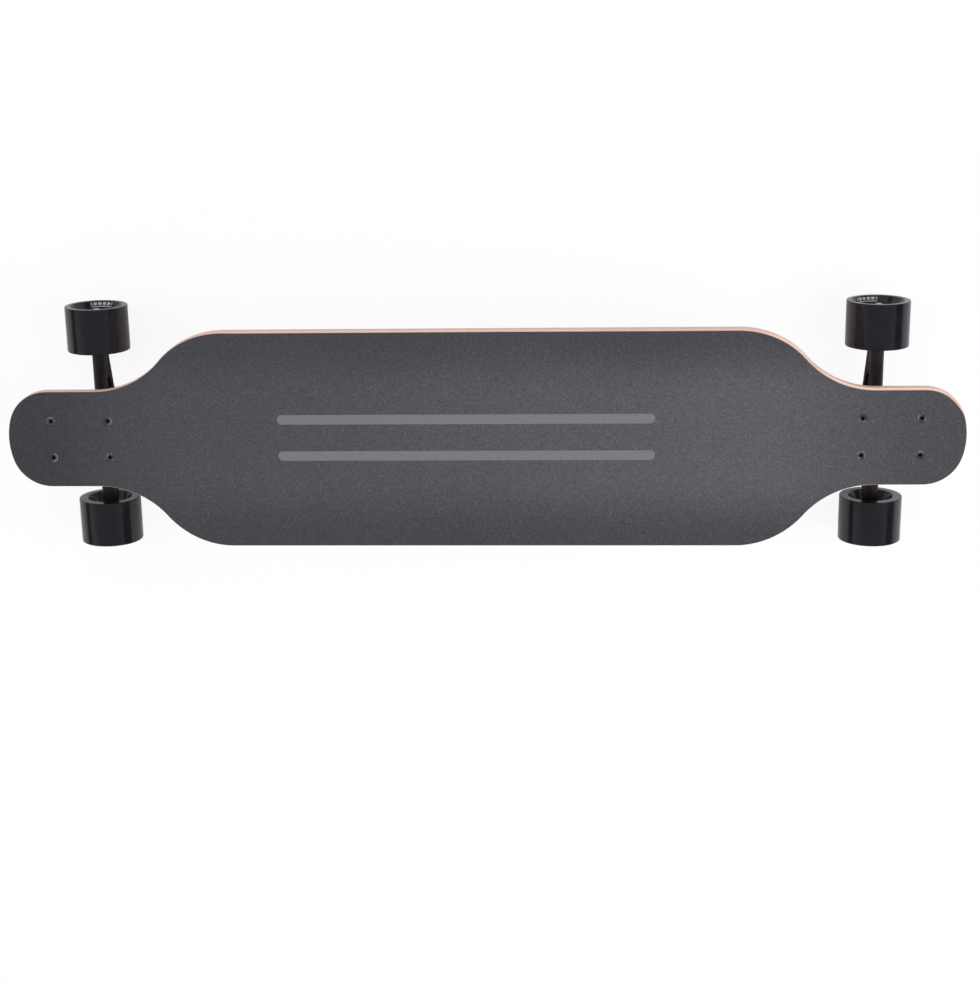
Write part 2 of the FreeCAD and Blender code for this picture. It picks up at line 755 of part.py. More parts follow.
def other_side(shape):
    """Copy of a shape turned round to the axle's other end."""
    turned_copy = shape.copy()
    turned_copy.rotate(axle_centre, up, 180)
    return turned_copy


def both_sides(shapes):
    """The shapes of one wheel and of the wheel opposite."""
    return shapes + [other_side(shape) for shape in shapes]


def save(node, shapes):
    """Write one node's solids to its own file."""
    Part.makeCompound(shapes).exportStep("parts/" + node + ".step")


truck_nodes = {
    "baseplate": [baseplate()],
    "pivot_cup": [pivot_cup()],
    "kingpin": [kingpin()],
    "kingpin_nut": [kingpin_nut()],
    "boardside_bushing": [boardside_bushing()],
    "roadside_bushing": [roadside_bushing()],
    "boardside_washer": [boardside_washer()],
    "roadside_washer": [roadside_washer()],
    "mounting_bolts": mounting_bolts(),
    "mounting_nuts": mounting_nuts(),
    "hanger": [hanger()],
    "axle": [axle()],
    "axle_nuts": both_sides([axle_nut()]),
    "speed_washers": both_sides(speed_washers()),
    "bearing_inner_rings": both_sides(inner_rings()),
    "bearing_spacers": both_sides([bearing_spacer()]),
}
wheel_nodes = {
    "tyre": [tyre()],
    "core": [core()],
    "bearing_outer_rings": outer_rings(),
    "bearing_shields": shields(),
    "bearing_balls": balls(),
    "bearing_cages": cages(),
}

os.makedirs("parts", exist_ok=True)
save("deck", [deck()])
save("grip_tape", [grip_tape()])
for end in ("front", "rear"):
    for name, shapes in truck_nodes.items():
        save(end + "_" + name, [on_board(shape, end) for shape in shapes])
    for side in ("left", "right"):
        # The rear truck is turned round, so there the left wheel is the one on the axle's other end
        turned_round = (side == "right") == (end == "front")
        for name, shapes in wheel_nodes.items():
            placed = [other_side(shape) if turned_round else shape for shape in shapes]
            save(end + "_" + side + "_" + name, [on_board(shape, end) for shape in placed])
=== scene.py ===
import json
import math

import bmesh
import bpy
import numpy as np
from mathutils import Matrix, Vector
from mathutils.geometry import delaunay_2d_cdt


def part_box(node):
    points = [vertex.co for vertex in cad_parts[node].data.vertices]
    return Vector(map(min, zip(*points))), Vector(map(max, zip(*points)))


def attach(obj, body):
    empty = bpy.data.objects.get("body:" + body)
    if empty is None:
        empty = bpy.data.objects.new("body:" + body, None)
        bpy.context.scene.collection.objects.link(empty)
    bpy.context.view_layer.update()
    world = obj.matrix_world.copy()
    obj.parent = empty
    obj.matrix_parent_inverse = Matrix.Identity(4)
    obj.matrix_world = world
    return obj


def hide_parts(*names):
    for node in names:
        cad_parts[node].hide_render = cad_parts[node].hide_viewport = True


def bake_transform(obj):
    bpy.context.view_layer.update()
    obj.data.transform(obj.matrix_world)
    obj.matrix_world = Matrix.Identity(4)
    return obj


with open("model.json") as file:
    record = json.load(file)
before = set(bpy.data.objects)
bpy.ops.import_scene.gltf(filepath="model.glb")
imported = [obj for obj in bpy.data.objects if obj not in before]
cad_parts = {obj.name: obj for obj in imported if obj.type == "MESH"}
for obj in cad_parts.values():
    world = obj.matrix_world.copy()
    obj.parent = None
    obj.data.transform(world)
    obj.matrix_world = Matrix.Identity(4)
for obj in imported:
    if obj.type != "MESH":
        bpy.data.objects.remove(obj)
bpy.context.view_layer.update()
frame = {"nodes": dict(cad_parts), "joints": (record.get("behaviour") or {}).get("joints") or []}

# Deck: nine maple veneers glued and pressed into a shallow trough, cut to a wide middle with a narrow
# neck beside each pair of wheels. Its edges are rounded with a router and the wood is clear lacquered.
deck_low, deck_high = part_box("deck")
half_length = deck_high.x
half_width = deck_high.y
half_neck = 0.05425
neck_length = 0.0985
flare_length = 0.149
nose_tip_radius = 0.082
nose_corner_radius = 0.044
deck_thickness = 0.013
deck_top_round = 0.0009
deck_bottom_round = 0.0035
deck_top_z = deck_low.z + deck_thickness
flat_half_width = 0.055
rail_rise = 0.007
press_reach = half_width - flat_half_width
press_radius = (press_reach ** 2 + rail_rise ** 2) / (2 * rail_rise)
outline_step = 0.004
truck_x = 0.445
bolt_half_long = 0.03175
bolt_half_across = 0.02065
bolt_places = np.array([(end * truck_x + along * bolt_half_long, aside * bolt_half_across)
                        for end in (1, -1) for along in (-1, 1) for aside in (-1, 1)])
hole_columns = 48
deck_grid = 0.008
grid_margin_share = 0.6
snap_distance = 1e-7
merge_distance = 2e-6
sliver_length = 1e-6


def arc_of(centre, radius, start, end):
    """Points centre + radius * (cos a, sin a), with a from start to end, about one outline step apart."""
    count = max(3, int(abs(end - start) * radius / outline_step) + 1)
    angle = np.linspace(start, end, count)
    return np.asarray(centre) + radius * np.stack([np.cos(angle), np.sin(angle)], 1)


def line_of(first, last):
    """Evenly spaced points from first to last, about one outline step apart."""
    first, last = np.asarray(first), np.asarray(last)
    count = max(2, int(np.linalg.norm(last - first) / outline_step) + 1)
    return first + np.linspace(0, 1, count)[:, None] * (last - first)


def deck_outline():
    """Plan outline, anticlockwise: nose arc, corner arc, neck, two equal flare arcs and the straight side
    make one quarter, which is mirrored in X, and the half is turned round for the other side."""
    reach = nose_tip_radius - nose_corner_radius
    side = half_neck - nose_corner_radius
    tip_x = half_length - nose_tip_radius
    corner_x = tip_x + math.sqrt(reach ** 2 - side ** 2)
    corner_turn = math.asin(side / reach)
    neck_x = half_length - neck_length
    flare_x = neck_x - flare_length
    flare_turn = 2 * math.atan((half_width - half_neck) / flare_length)
    flare_radius = flare_length / (2 * math.sin(flare_turn))
    upright = math.pi / 2
    quarter = np.concatenate([
        arc_of((tip_x, 0), nose_tip_radius, 0, corner_turn)[:-1],
        arc_of((corner_x, side), nose_corner_radius, corner_turn, upright)[:-1],
        line_of((corner_x, half_neck), (neck_x, half_neck))[:-1],
        arc_of((neck_x, half_neck + flare_radius), flare_radius, -upright, -upright - flare_turn)[:-1],
        arc_of((flare_x, half_width - flare_radius), flare_radius, upright - flare_turn, upright)[:-1],
        line_of((flare_x, half_width), (0, half_width)),
    ])
    half = np.concatenate([quarter[:-1], (quarter * (-1, 1))[:0:-1]])
    return np.concatenate([half, -half])


def outward(loop):
    """Unit normals of a closed anticlockwise loop, each square to the line between its neighbours."""
    along = np.roll(loop, -1, 0) - np.roll(loop, 1, 0)
    along /= np.linalg.norm(along, axis=1, keepdims=True)
    return np.stack([along[:, 1], -along[:, 0]], 1)


def pressed(plan, level):
    """Plan points lifted onto the surface that lies level above the deck's top: flat in the middle, and on
    each side an arc of radius (press radius - level) about one lengthwise line."""
    beyond = np.maximum(np.abs(plan[:, 1]) - flat_half_width, 0)
    height = deck_top_z + press_radius - np.sqrt((press_radius - level) ** 2 - beyond ** 2)
    return np.column_stack([plan, height])


def inside(points, loop):
    """Even-odd rule: a point is inside where an odd number of the loop's edges lie to its right."""
    x, y = points[:, :1], points[:, 1:]
    x0, y0 = loop[:, 0], loop[:, 1]
    x1, y1 = np.roll(x0, -1), np.roll(y0, -1)
    rise = np.where(y1 == y0, 1, y1 - y0)
    crossed = ((y0 > y) != (y1 > y)) & (x < x0 + (y - y0) / rise * (x1 - x0))
    return crossed.sum(1) % 2 == 1


def circles(centres, radius):
    """Rings of points centre + radius * (cos a, sin a), one ring for each centre."""
    angle = np.linspace(0, 2 * math.pi, hole_columns, endpoint=False)
    ring = radius * np.stack([np.cos(angle), np.sin(angle)], 1)
    return np.asarray(centres)[:, None, :] + ring


def flat_sheet(loop, hole_radius, spacing):
    """Plan triangles between the outline and the bolt holes: the outline, the hole rims and a staggered grid
    of points kept clear of both, joined by a constrained Delaunay triangulation."""
    margin = grid_margin_share * spacing
    rows = np.arange(-half_width, half_width, spacing * math.sqrt(3) / 2)
    columns = np.arange(-half_length, half_length, spacing)
    x, y = np.meshgrid(columns, rows)
    x = x + (np.arange(len(rows)) % 2)[:, None] * spacing / 2
    grid = np.column_stack([x.ravel(), y.ravel()])
    grid = grid[inside(grid, loop - outward(loop) * margin)]
    reach = np.linalg.norm(grid[:, None, :] - bolt_places, axis=2).min(1)
    grid = grid[reach > hole_radius + margin]
    rims = circles(bolt_places, hole_radius)
    rings = [loop] + list(rims)
    edges, first = [], 0
    for ring in rings:
        index = np.arange(len(ring))
        edges += np.column_stack([first + index, first + np.roll(index, -1)]).tolist()
        first += len(ring)
    points = np.concatenate(rings + [grid])
    made = delaunay_2d_cdt([Vector(point) for point in points], edges, [], 0, snap_distance, False)
    plan, triangles = np.array(made[0]), np.array(made[2])
    middle = plan[triangles].mean(1)
    reach = np.linalg.norm(middle[:, None, :] - bolt_places, axis=2).min(1)
    rim_reach = hole_radius * math.cos(math.pi / hole_columns)
    return plan, triangles[inside(middle, loop) & (reach > rim_reach)]


def grid_faces(rows, columns):
    """Quads of a grid stored row by row, the last column closed on the first."""
    row, column = np.meshgrid(np.arange(rows - 1), np.arange(columns), indexing="ij")
    after = (column + 1) % columns
    quads = [row * columns + column, row * columns + after,
             (row + 1) * columns + after, (row + 1) * columns + column]
    return np.stack(quads, -1).reshape(-1, 4)


def board_shells(rim, hole_rim, spacing, margin=None):
    """Closed board. Rim rows are (inset from the outline, level above the deck's top) carried round the
    outline, hole rows are (radius, level) carried round each bolt hole, and flat sheets close the first and
    last rows. A margin, if given, draws each point of the outline in by its own amount first."""
    loop = deck_outline()
    normals = outward(loop)
    if margin is not None:
        loop = loop - normals * margin(loop, normals)[:, None]
    shells = []
    for row in (0, -1):
        plan, triangles = flat_sheet(loop - normals * rim[row][0], hole_rim[row][0], spacing)
        shells.append((pressed(plan, rim[row][1]), triangles))
    walls = [pressed(loop - normals * inset, level) for inset, level in rim]
    shells.append((np.concatenate(walls), grid_faces(len(rim), len(loop))))
    for place in bolt_places:
        walls = [pressed(circles([place], radius)[0], level) for radius, level in hole_rim]
        shells.append((np.concatenate(walls), grid_faces(len(hole_rim), hole_columns)))
    return shells


def placed(name, data):
    """Object of the data, linked to the scene."""
    made = bpy.data.objects.new(name, data)
    bpy.context.scene.collection.objects.link(made)
    return made


def mesh_piece(name, shells, material, sharp_degrees=35):
    """Mesh object made of shells (points, faces) or (points, faces, corner coordinates): joined, doubles
    merged, normals turned outward, and smooth except across edges sharper than the angle."""
    starts = np.cumsum([0] + [len(shell[0]) for shell in shells])
    faces = [face for shell, start in zip(shells, starts) for face in (shell[1] + start).tolist()]
    mesh = bpy.data.meshes.new(name)
    mesh.from_pydata(np.concatenate([shell[0] for shell in shells]).tolist(), [], faces)
    if len(shells[0]) > 2:
        layer = mesh.uv_layers.new(name="around_along")
        layer.data.foreach_set("uv", np.concatenate([shell[2] for shell in shells]).ravel())
    joined = bmesh.new()
    joined.from_mesh(mesh)
    bmesh.ops.remove_doubles(joined, verts=joined.verts, dist=merge_distance)
    bmesh.ops.dissolve_degenerate(joined, edges=joined.edges, dist=sliver_length)
    bmesh.ops.recalc_face_normals(joined, faces=joined.faces)
    joined.to_mesh(mesh)
    joined.free()
    mesh.shade_smooth()
    mesh.set_sharp_from_angle(angle=math.radians(sharp_degrees))
    mesh.materials.append(material)
    return placed(name, mesh)


def stands_for(piece, body, node):
    """The piece rides on the body and takes the node's place, whose part is hidden."""
    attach(piece, body)
    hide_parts(node)


def add(tree, kind, feeds, **settings):
    """New shader node: settings are its properties, feeds its inputs, each a value or the socket to link."""
    node = tree.nodes.new("ShaderNode" + kind)
    for name, value in settings.items():
        setattr(node, name, value)
    for key, value in feeds.items():
        if isinstance(value, bpy.types.NodeSocket):
            tree.links.new(value, node.inputs[key])
        else:
            node.inputs[key].default_value = value
    return node


def maths(tree, operation, first, second=0.0):
    """Socket of one Math node."""
    return add(tree, "Math", {0: first, 1: second}, operation=operation).outputs[0]


def apart(tree, first, second):
    """Socket of the distance between two values."""
    return maths(tree, "ABSOLUTE", maths(tree, "SUBTRACT", first, second))


def reach_of(tree, first, second):
    """Socket of sqrt(first^2 + second^2)."""
    squares = [maths(tree, "MULTIPLY", side, side) for side in (first, second)]
    return maths(tree, "SQRT", maths(tree, "ADD", *squares))


def spread(tree, value, low, high, to_low=0.0, to_high=1.0, kind="SMOOTHSTEP"):
    """Socket that carries value from the range low..high to the range to_low..to_high."""
    feeds = {0: value, 1: low, 2: high, 3: to_low, 4: to_high}
    return add(tree, "MapRange", feeds, interpolation_type=kind).outputs[0]


def mixed(tree, share, first, second, blend_type="MIX"):
    """Socket of a colour mix: first where share is 0, second where it is 1."""
    feeds = {0: share, 6: first, 7: second}
    return add(tree, "Mix", feeds, data_type="RGBA", blend_type=blend_type).outputs[2]


def bumped(tree, shader, height, distance):
    """Feeds the shader's normal from a height that stands distance metres high."""
    bump = add(tree, "Bump", {"Strength": 1.0, "Distance": distance, "Height": height})
    tree.links.new(bump.outputs[0], shader.inputs["Normal"])


def start_material(name, constants):
    """Material with a Principled shader, the constants set on its own sockets."""
    material = bpy.data.materials.new(name)
    material.use_nodes = True
    shader = material.node_tree.nodes["Principled BSDF"]
    for socket, value in constants.items():
        shader.inputs[socket].default_value = value
    return material, material.node_tree, shader


noise_range = (0.3, 0.7)


def dressed(tree, shader, colour, noise, roughness, height, relief):
    """Feeds the shader its colour, a roughness that runs from the first to the second value as the noise
    rises, and the bump of a height that stands relief metres high."""
    tree.links.new(colour, shader.inputs["Base Color"])
    tree.links.new(spread(tree, noise, *noise_range, *roughness), shader.inputs["Roughness"])
    bumped(tree, shader, height, relief)


streaks_per_metre = {"Broad": (2.5, 55, 55), "Fine": (16, 900, 900)}
streak_details = {"Broad": 3.0, "Fine": 2.0}
streak_wander = 0.4


def streak_group():
    """Node group: noise stretched along X. Broad is a veneer's slow banding, Fine its pores and fibres."""
    group = bpy.data.node_groups.new("wood_streaks", "ShaderNodeTree")
    for name in streaks_per_metre:
        group.interface.new_socket(name, in_out="OUTPUT", socket_type="NodeSocketFloat")
    place = add(group, "TexCoord", {}).outputs["Object"]
    end = group.nodes.new("NodeGroupOutput")
    for name, scale in streaks_per_metre.items():
        stretched = add(group, "Mapping", {"Vector": place, "Scale": scale}).outputs[0]
        feeds = {"Vector": stretched, "Scale": 1.0, "Detail": streak_details[name],
                 "Distortion": streak_wander}
        group.links.new(add(group, "TexNoise", feeds).outputs[0], end.inputs[name])
    return group


wood_streaks = streak_group()
ply_count = 9
outer_ply_share = 0.7
long_ply_light = (0.95, 0.685, 0.575, 1)
long_ply_dark = (0.83, 0.545, 0.44, 1)
cross_ply = (0.72, 0.445, 0.355, 1)
glue_line = (0.36, 0.20, 0.13, 1)
band_range = (0.35, 0.68)
fibre_range = (0.5, 0.8)
fibre_share = 0.35
cross_share = 0.8
glue_range = (0.42, 0.49)
glue_share = 0.5
lacquer = {"Coat Weight": 0.25, "Coat Roughness": 0.18}
maple_roughness = (0.34, 0.48)
fibre_relief = 0.00006


def maple_material():
    """Depth below the deck's top, sqrt(beyond^2 + drop^2) - press radius, counts the plies, and every second
    ply lies across. Streaks along X colour the long plies, and thin glue lines part the plies."""
    material, tree, shader = start_material("lacquered_maple", lacquer)
    place = add(tree, "SeparateXYZ", {0: add(tree, "TexCoord", {}).outputs["Object"]})
    aside = maths(tree, "ABSOLUTE", place.outputs["Y"])
    beyond = maths(tree, "MAXIMUM", maths(tree, "SUBTRACT", aside, flat_half_width), 0.0)
    drop = maths(tree, "SUBTRACT", press_radius + deck_top_z, place.outputs["Z"])
    depth = maths(tree, "SUBTRACT", reach_of(tree, beyond, drop), press_radius)
    first = 1 - outer_ply_share
    ply = spread(tree, depth, 0.0, deck_thickness, first, ply_count - first, "LINEAR")
    lies_across = maths(tree, "MODULO", maths(tree, "FLOOR", ply), 2.0)
    glue = spread(tree, apart(tree, maths(tree, "FRACT", ply), 0.5), *glue_range)
    streaks = add(tree, "Group", {}, node_tree=wood_streaks).outputs
    along = mixed(tree, spread(tree, streaks["Broad"], *band_range), long_ply_light, long_ply_dark)
    along = mixed(tree, spread(tree, streaks["Fine"], *fibre_range, 0.0, fibre_share), along, cross_ply)
    colour = mixed(tree, maths(tree, "MULTIPLY", lies_across, cross_share), along, cross_ply)
    colour = mixed(tree, maths(tree, "MULTIPLY", glue, glue_share), colour, glue_line)
    dressed(tree, shader, colour, streaks["Fine"], maple_roughness, streaks["Fine"], fibre_relief)
    return material


def round_rows(radius, from_angle, to_angle, count=7):
    """Quarter round: inset radius * (1 - cos a) and rise radius * (1 - sin a), a between the two angles."""
    angle = np.linspace(from_angle, to_angle, count)
    return radius * (1 - np.cos(angle)), radius * (1 - np.sin(angle))


top_inset, top_drop = round_rows(deck_top_round, math.pi / 2, 0)
bottom_inset, bottom_lift = round_rows(deck_bottom_round, 0, math.pi / 2)
deck_rim = np.column_stack([np.concatenate([top_inset, bottom_inset]),
                            np.concatenate([-top_drop, bottom_lift - deck_thickness])])
countersink_radius = 0.005
countersink_wall = 0.0009
bolt_hole_radius = 0.0027
deck_hole_rim = np.array([(countersink_radius, 0), (countersink_radius, -countersink_wall),
                          (bolt_hole_radius, -countersink_wall - countersink_radius + bolt_hole_radius),
                          (bolt_hole_radius, -deck_thickness)])
maple = maple_material()
deck = mesh_piece("maple_deck", board_shells(deck_rim, deck_hole_rim, deck_grid), maple)
stands_for(deck, "board", "deck")

# Grip: a self-adhesive sheet of dark grit with two plain grey bars printed on it, laid over the whole top and
# filed off along the deck's edge, with a round hole pressed in over each bolt head. A painted sheen makes the
# flat middle greyer, most of all towards the front.
grip_thickness = 0.0009
grip_bevel = 0.0004
grip_grid = 0.006
grip_hole_radius = 0.0050
narrow_margin = 0.0006
wide_margin = 0.0025
widest_margin = 0.0029
margin_start_x = (-0.36, -0.26)
margin_growth_x = (0.0, 0.25)
left_facing = (0.2, 0.7)
grit_black = (0.040, 0.0385, 0.046, 1)
# Painted sheen: the grit's colour where the sheen mask is full.
grit_sheen_grey = (0.110, 0.106, 0.123, 1)
# Painted glints: the bright colour painted on a few grit cells.
grit_glint = (0.15, 0.15, 0.16, 1)
mark_grey = (0.212, 0.207, 0.232, 1)
noise_detail = 3.0
patch_detail = 2.0


def grain_group():
    """Node group: fine random cells, soft fine noise and slow patches on Object coordinates, each 0 to 1."""
    group = bpy.data.node_groups.new("surface_grain", "ShaderNodeTree")
    for name in ("Cell Scale", "Noise Scale", "Patch Scale"):
        group.interface.new_socket(name, in_out="INPUT", socket_type="NodeSocketFloat")
    for name in ("Cells", "Relief", "Noise", "Patches"):
        group.interface.new_socket(name, in_out="OUTPUT", socket_type="NodeSocketFloat")
    begin = group.nodes.new("NodeGroupInput")
    end = group.nodes.new("NodeGroupOutput")
    place = add(group, "TexCoord", {}).outputs["Object"]
    cells = add(group, "TexVoronoi", {"Vector": place, "Scale": begin.outputs["Cell Scale"]})
    random_tone = add(group, "SeparateColor", {0: cells.outputs["Color"]}).outputs[0]
    noise_feeds = {"Vector": place, "Scale": begin.outputs["Noise Scale"], "Detail": noise_detail}
    patch_feeds = {"Vector": place, "Scale": begin.outputs["Patch Scale"], "Detail": patch_detail}
    group.links.new(random_tone, end.inputs["Cells"])
    group.links.new(cells.outputs["Distance"], end.inputs["Relief"])
    group.links.new(add(group, "TexNoise", noise_feeds).outputs[0], end.inputs["Noise"])
    group.links.new(add(group, "TexNoise", patch_feeds).outputs[0], end.inputs["Patches"])
    return group


surface_grain = grain_group()


def grain(tree, cell_scale, noise_scale, patch_scale):
    """Outputs of the surface_grain group placed in a material with its own scales, each per metre."""
    feeds = {"Cell Scale": cell_scale, "Noise Scale": noise_scale, "Patch Scale": patch_scale}
    return add(tree, "Group", feeds, node_tree=surface_grain).outputs


mark_start, mark_end = -0.2195, 0.1841
mark_levels = (0.0214, -0.0196)
mark_half_height = 0.0054
mark_blur = 0.0003


def bar_mask(tree, place):
    """Two plain bars with round ends: distance from a bar's centre line, less its half height, is below 0."""
    over = maths(tree, "MAXIMUM", maths(tree, "SUBTRACT", mark_start, place.outputs["X"]), 0.0)
    past = maths(tree, "MAXIMUM", maths(tree, "SUBTRACT", place.outputs["X"], mark_end), 0.0)
    beyond = maths(tree, "ADD", over, past)
    aside = [maths(tree, "SUBTRACT", place.outputs["Y"], level) for level in mark_levels]
    nearest = maths(tree, "MINIMUM", *[reach_of(tree, distance, beyond) for distance in aside])
    return spread(tree, nearest, mark_half_height + mark_blur, mark_half_height - mark_blur)


def grey(tree, tone):
    """Socket of the neutral colour of one tone."""
    return add(tree, "CombineColor", {0: tone, 1: tone, 2: tone}).outputs[0]


grit_specular = 0.5
grit_grain = (1050.0, 420.0, 7.0)
# Painted sheen: where the grit is painted greyer, rising from the rear to the front, lower at the nose and
# rails.
rear_sheen_x = (-0.54, -0.28)
rear_sheen = (0.05, 0.56)
front_sheen_x = (-0.28, 0.24)
front_sheen_gain = 0.44
nose_sheen_x = (0.30, 0.50)
nose_sheen_share = 0.40
rail_sheen_y = (0.045, 0.112)
rail_sheen_x = (-0.3, 0.3)
rail_sheen_shares = (0.46, 0.32)
sheen_patches = (-0.04, 0.04)
cell_tones = (0.73, 1.23)
noise_tones = (0.86, 1.14)
glint_cells = (0.972, 0.992)
# Painted glints: the share they keep where the painted sheen is low.
low_sheen_glint_share = 0.25
ink_gap_cells = (0.0, 0.25)
ink_gap_share = 0.86
grit_roughness = (0.55, 0.72)
grit_relief = 0.0002


def grit_material():
    """Random cells about a millimetre wide vary the grit's tone and raise it, a few of them painted bright as
    glints.
    The painted sheen mask rises from the rear to the front, falls again at the nose, and fades from the flat
    middle to the rails."""
    material, tree, shader = start_material("grit_sheet", {"Specular IOR Level": grit_specular})
    place = add(tree, "SeparateXYZ", {0: add(tree, "TexCoord", {}).outputs["Object"]})
    along = place.outputs["X"]
    aside = maths(tree, "ABSOLUTE", place.outputs["Y"])
    fine = grain(tree, *grit_grain)
    # Painted sheen mask: the grit is painted greyer where it is high.
    painted_sheen = maths(tree, "ADD", spread(tree, along, *rear_sheen_x, *rear_sheen),
                 spread(tree, along, *front_sheen_x, 0.0, front_sheen_gain, "LINEAR"))
    painted_sheen = maths(tree, "MULTIPLY", painted_sheen, spread(tree, along, *nose_sheen_x, 1.0, nose_sheen_share))
    rail_sheen_level = spread(tree, along, *rail_sheen_x, *rail_sheen_shares, "LINEAR")
    painted_sheen = maths(tree, "MULTIPLY", painted_sheen, spread(tree, aside, *rail_sheen_y, 1.0, rail_sheen_level))
    painted_sheen = maths(tree, "ADD", painted_sheen, spread(tree, fine["Patches"], *noise_range, *sheen_patches))
    # Painted sheen: the grit is painted from black towards grey by the mask.
    colour = mixed(tree, painted_sheen, grit_black, grit_sheen_grey)
    tone = maths(tree, "MULTIPLY", spread(tree, fine["Cells"], 0.0, 1.0, *cell_tones, "LINEAR"),
                 spread(tree, fine["Noise"], *noise_range, *noise_tones))
    colour = mixed(tree, 1.0, colour, grey(tree, tone), "MULTIPLY")
    # Painted glints: a few bright cells, dimmer where the painted sheen is low.
    glints = maths(tree, "MULTIPLY", spread(tree, fine["Cells"], *glint_cells),
                   spread(tree, painted_sheen, 0.0, 1.0, low_sheen_glint_share, 1.0, "LINEAR"))
    colour = mixed(tree, glints, colour, grit_glint)
    inked = maths(tree, "MULTIPLY", bar_mask(tree, place),
                  spread(tree, fine["Cells"], *ink_gap_cells, ink_gap_share, 1.0))
    colour = mixed(tree, inked, colour, mark_grey)
    height = maths(tree, "ADD", fine["Relief"], fine["Noise"])
    dressed(tree, shader, colour, fine["Noise"], grit_roughness, height, grit_relief)
    return material


def step_between(value, low, high):
    """Smooth step 3t^2 - 2t^3 of t, the value's place between low and high."""
    share = np.clip((value - low) / (high - low), 0, 1)
    return share ** 2 * (3 - 2 * share)


def hand_margin(loop, normals):
    """Wood left bare beside the sheet: wide along the left rail forward of the rear neck, a little wider
    still towards the front, narrow elsewhere."""
    faces_left = step_between(normals[:, 1], *left_facing)
    forward = step_between(loop[:, 0], *margin_start_x)
    along_rail = wide_margin + (widest_margin - wide_margin) * step_between(loop[:, 0], *margin_growth_x)
    return narrow_margin + (along_rail - narrow_margin) * faces_left * forward


grip_rim = np.array([(grip_bevel, grip_thickness), (0, grip_thickness - grip_bevel), (0, 0)])
grip_hole_rim = np.array([(grip_hole_radius + grip_bevel, grip_thickness),
                          (grip_hole_radius, grip_thickness - grip_bevel), (grip_hole_radius, 0)])
grit = grit_material()
grip = mesh_piece("grit_sheet", board_shells(grip_rim, grip_hole_rim, grip_grid, hand_margin), grit)
stands_for(grip, "board", "grip_tape")

# Baseplates: one aluminium casting under each end of the deck, with the kingpin's slanted seat and the
# tower for the pivot cup. Sand-cast skin, edges softened by tumbling, satin black powder coat.
cast_voxel = 0.0008
cast_relax_rounds = 10
cast_relax_share = 0.5
cad_merge_distance = 1e-6
coat_black = (0.0065, 0.0065, 0.0075, 1)
coat_rubbed = (0.014, 0.014, 0.0155, 1)
bare_alloy = (0.30, 0.30, 0.31, 1)
chips_per_metre = 160.0
chip_detail = 4.0
chip_range = (0.42, 0.66)


def wear_group():
    """Node group: Mask is 1 on convex edges, where pointiness passes Start, broken up by noise."""
    group = bpy.data.node_groups.new("edge_wear", "ShaderNodeTree")
    group.interface.new_socket("Start", in_out="INPUT", socket_type="NodeSocketFloat")
    group.interface.new_socket("End", in_out="INPUT", socket_type="NodeSocketFloat")
    group.interface.new_socket("Mask", in_out="OUTPUT", socket_type="NodeSocketFloat")
    begin = group.nodes.new("NodeGroupInput")
    end = group.nodes.new("NodeGroupOutput")
    place = add(group, "TexCoord", {}).outputs["Object"]
    noise_feeds = {"Vector": place, "Scale": chips_per_metre, "Detail": chip_detail}
    noise = add(group, "TexNoise", noise_feeds).outputs[0]
    point = add(group, "NewGeometry", {}).outputs["Pointiness"]
    edge = spread(group, point, begin.outputs["Start"], begin.outputs["End"])
    broken = maths(group, "MULTIPLY", edge, spread(group, noise, *chip_range))
    group.links.new(broken, end.inputs["Mask"])
    return group


edge_wear = wear_group()
coat_specular = 0.4
coat_grain = (2500.0, 1100.0, 45.0)
coat_patches = (0.35, 0.7)
coat_worn_edges = {"Start": 0.53, "End": 0.60}
coat_worn_share = 0.35
coat_roughness = (0.36, 0.52)
coat_relief = 0.00012


def powder_coat_material():
    """Fine orange-peel relief and slow patches on a satin black coat, rubbed greyer along the edges."""
    material, tree, shader = start_material("black_powder_coat", {"Specular IOR Level": coat_specular})
    fine = grain(tree, *coat_grain)
    worn = add(tree, "Group", coat_worn_edges, node_tree=edge_wear).outputs["Mask"]
    colour = mixed(tree, spread(tree, fine["Patches"], *coat_patches), coat_black, coat_rubbed)
    colour = mixed(tree, maths(tree, "MULTIPLY", worn, coat_worn_share), colour, bare_alloy)
    dressed(tree, shader, colour, fine["Noise"], coat_roughness, fine["Noise"], coat_relief)
    return material


def merged_mesh(node):
    """Copy of a CAD node's mesh, its loose triangles merged."""
    mesh = frame["nodes"][node].data.copy()
    merged = bmesh.new()
    merged.from_mesh(mesh)
    bmesh.ops.remove_doubles(merged, verts=merged.verts, dist=cad_merge_distance)
    merged.to_mesh(mesh)
    merged.free()
    return mesh


def cast_copy(name, node, material):
    """Merged copy of a CAD casting, remeshed on a fine grid and relaxed so that its edges and inner corners
    are rounded as a casting's are."""
    rough = placed(name + ".rough", merged_mesh(node))
    remesh = rough.modifiers.new("grid", "REMESH")
    remesh.mode = "VOXEL"
    remesh.voxel_size = cast_voxel
    relax = rough.modifiers.new("relax", "SMOOTH")
    relax.factor = cast_relax_share
    relax.iterations = cast_relax_rounds
    ready = rough.evaluated_get(bpy.context.evaluated_depsgraph_get())
    final = bpy.data.meshes.new_from_object(ready)
    final.name = name
    bpy.data.objects.remove(rough)
    final.materials.clear()
    final.materials.append(material)
    final.shade_smooth()
    return placed(name, final)


powder_coat = powder_coat_material()
ends = ("front", "rear")
for end in ends:
    plate = cast_copy(end + "_cast_baseplate", end + "_baseplate", powder_coat)
    stands_for(plate, "board", end + "_baseplate")

